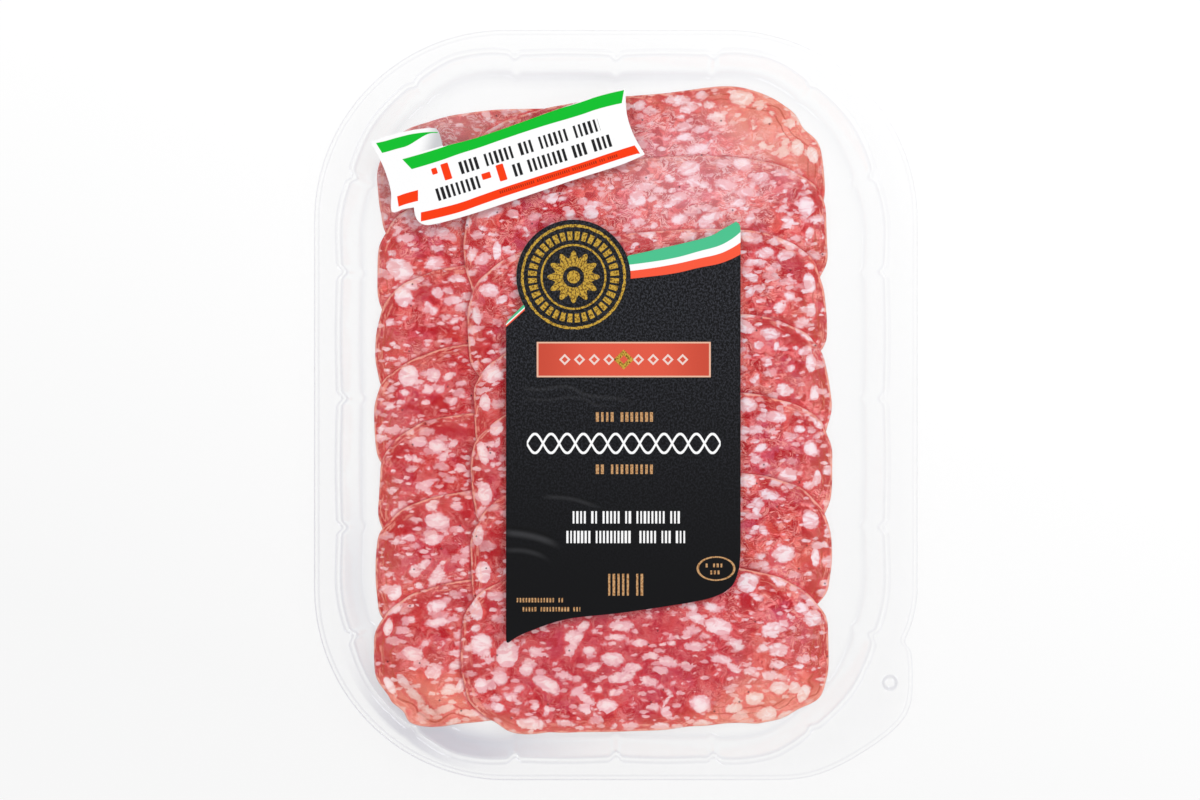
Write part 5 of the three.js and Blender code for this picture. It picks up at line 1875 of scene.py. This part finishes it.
class SALAMIPACK_OT_stage(bpy.types.Operator):
    """Sets a pale floor, soft lights and the camera straight above the pack"""

    bl_idname = "salamipack.stage"
    bl_label = "Stage and Camera"

    def execute(self, context):
        look = context.scene.salamipack_stage
        self.lay_floor(context.scene, look)
        self.hang_lamps(context.scene, look)
        context.scene.world = self.sky(look.sky)
        self.set_camera(context.scene)
        return {"FINISHED"}

    @staticmethod
    def lay_floor(scene, look):
        """A wide floor that glows evenly, a little more towards the upper end."""
        made, w, surface = new_material("pale_floor", tuple(look.floor))
        paint = w.node("ShaderNodeBsdfPrincipled")
        paint.inputs["Base Color"].default_value = tuple(look.floor)
        paint.inputs["Roughness"].default_value = 0.7
        paint.inputs["Specular IOR Level"].default_value = 0.1
        paint.inputs["Emission Color"].default_value = (1.0, 1.0, 1.0, 1.0)
        x, y = w.split(object_mm(w))[0:2]
        slant = w.add(w.mul(x, SLANT_X / SLANT_REACH), w.mul(y, SLANT_Y / SLANT_REACH))
        slant = w.math("MAXIMUM", w.math("MINIMUM", slant, 1.0), -1.0)
        w.feed(paint.inputs["Emission Strength"],
               w.math("MULTIPLY_ADD", slant, look.slant, look.glow))
        w.feed(surface, paint.outputs[0])
        bm = bmesh.new()
        bmesh.ops.create_grid(bm, x_segments=2, y_segments=2, size=4.0)
        mesh = bpy.data.meshes.new("floor")
        bm.to_mesh(mesh)
        bm.free()
        mesh.materials.append(made)
        floor = bpy.data.objects.new("floor", mesh)
        floor.location.z = -0.2 * MM
        scene.collection.objects.link(floor)

    @staticmethod
    def hang_lamps(scene, look):
        """Square lamps that look at the pack's middle."""
        for name, (x, y, z), power in LAMPS:
            data = bpy.data.lights.new(name, "AREA")
            data.shape = "SQUARE"
            data.size = LAMP_SIZE
            data.energy = getattr(look, power)
            lamp = bpy.data.objects.new(name, data)
            lamp.location = (x, y, z)
            lamp.rotation_euler = (0.0, math.atan2(math.hypot(x, y), z), math.atan2(y, x))
            scene.collection.objects.link(lamp)

    @staticmethod
    def sky(strength):
        """A studio sky, brighter overhead."""
        world = bpy.data.worlds.new("studio")
        world.use_nodes = True
        background = world.node_tree.nodes["Background"]
        w = Wiring(world.node_tree)
        level = w.split(w.node("ShaderNodeTexCoord").outputs["Generated"])[2]
        w.feed(background.inputs["Color"], w.ramp(level, (0.0, (0.34, 0.34, 0.35, 1)),
                                                  (0.3, (0.42, 0.42, 0.43, 1)),
                                                  (0.8, (1, 1, 1, 1))))
        background.inputs["Strength"].default_value = strength
        return world

    @staticmethod
    def set_camera(scene):
        """The camera, straight above the pack."""
        lens = bpy.data.cameras.new("camera")
        lens.lens = CAMERA_LENS
        lens.sensor_width = 36.0
        lens.clip_start, lens.clip_end = 0.01, 20.0
        camera = bpy.data.objects.new("camera", lens)
        camera.location = CAMERA_PLACE
        scene.collection.objects.link(camera)
        scene.camera = camera
        scene.view_settings.view_transform = "Standard"


class SALAMIPACK_PT_panel(bpy.types.Panel):
    """Sizes, colours and steps of the salami pack"""

    bl_idname = "SALAMIPACK_PT_panel"
    bl_label = "Salami Pack"
    bl_space_type = "VIEW_3D"
    bl_region_type = "UI"
    bl_category = "Salami Pack"

    def draw(self, context):
        for step, group in (
            ("salamipack.stage", "salamipack_stage"),
            ("salamipack.tray", "salamipack_plastic"),
            ("salamipack.film", None),
            ("salamipack.slices", "salamipack_meat"),
            ("salamipack.stickers", "salamipack_print"),
        ):
            box = self.layout.box()
            box.operator(step)
            if group:
                values = getattr(context.scene, group)
                for name in values.__annotations__:
                    box.prop(values, name)


GROUPS = {
    "salamipack_plastic": SALAMIPACK_PG_plastic,
    "salamipack_meat": SALAMIPACK_PG_meat,
    "salamipack_print": SALAMIPACK_PG_print,
    "salamipack_stage": SALAMIPACK_PG_stage,
}
CLASSES = (
    SALAMIPACK_PG_plastic, SALAMIPACK_PG_meat, SALAMIPACK_PG_print, SALAMIPACK_PG_stage,
    SALAMIPACK_OT_tray, SALAMIPACK_OT_film, SALAMIPACK_OT_slices, SALAMIPACK_OT_stickers,
    SALAMIPACK_OT_stage, SALAMIPACK_PT_panel,
)


def register():
    for item in CLASSES:
        bpy.utils.register_class(item)
    for name, group in GROUPS.items():
        setattr(bpy.types.Scene, name, PointerProperty(type=group))


def unregister():
    for name in GROUPS:
        delattr(bpy.types.Scene, name)
    for item in reversed(CLASSES):
        bpy.utils.unregister_class(item)


def main():
    """Builds the pack."""
    register()
    bpy.ops.salamipack.stage()
    bpy.ops.salamipack.tray()
    bpy.ops.salamipack.film()
    bpy.ops.salamipack.slices()
    bpy.ops.salamipack.stickers()


if __name__ == "__main__":
    main()
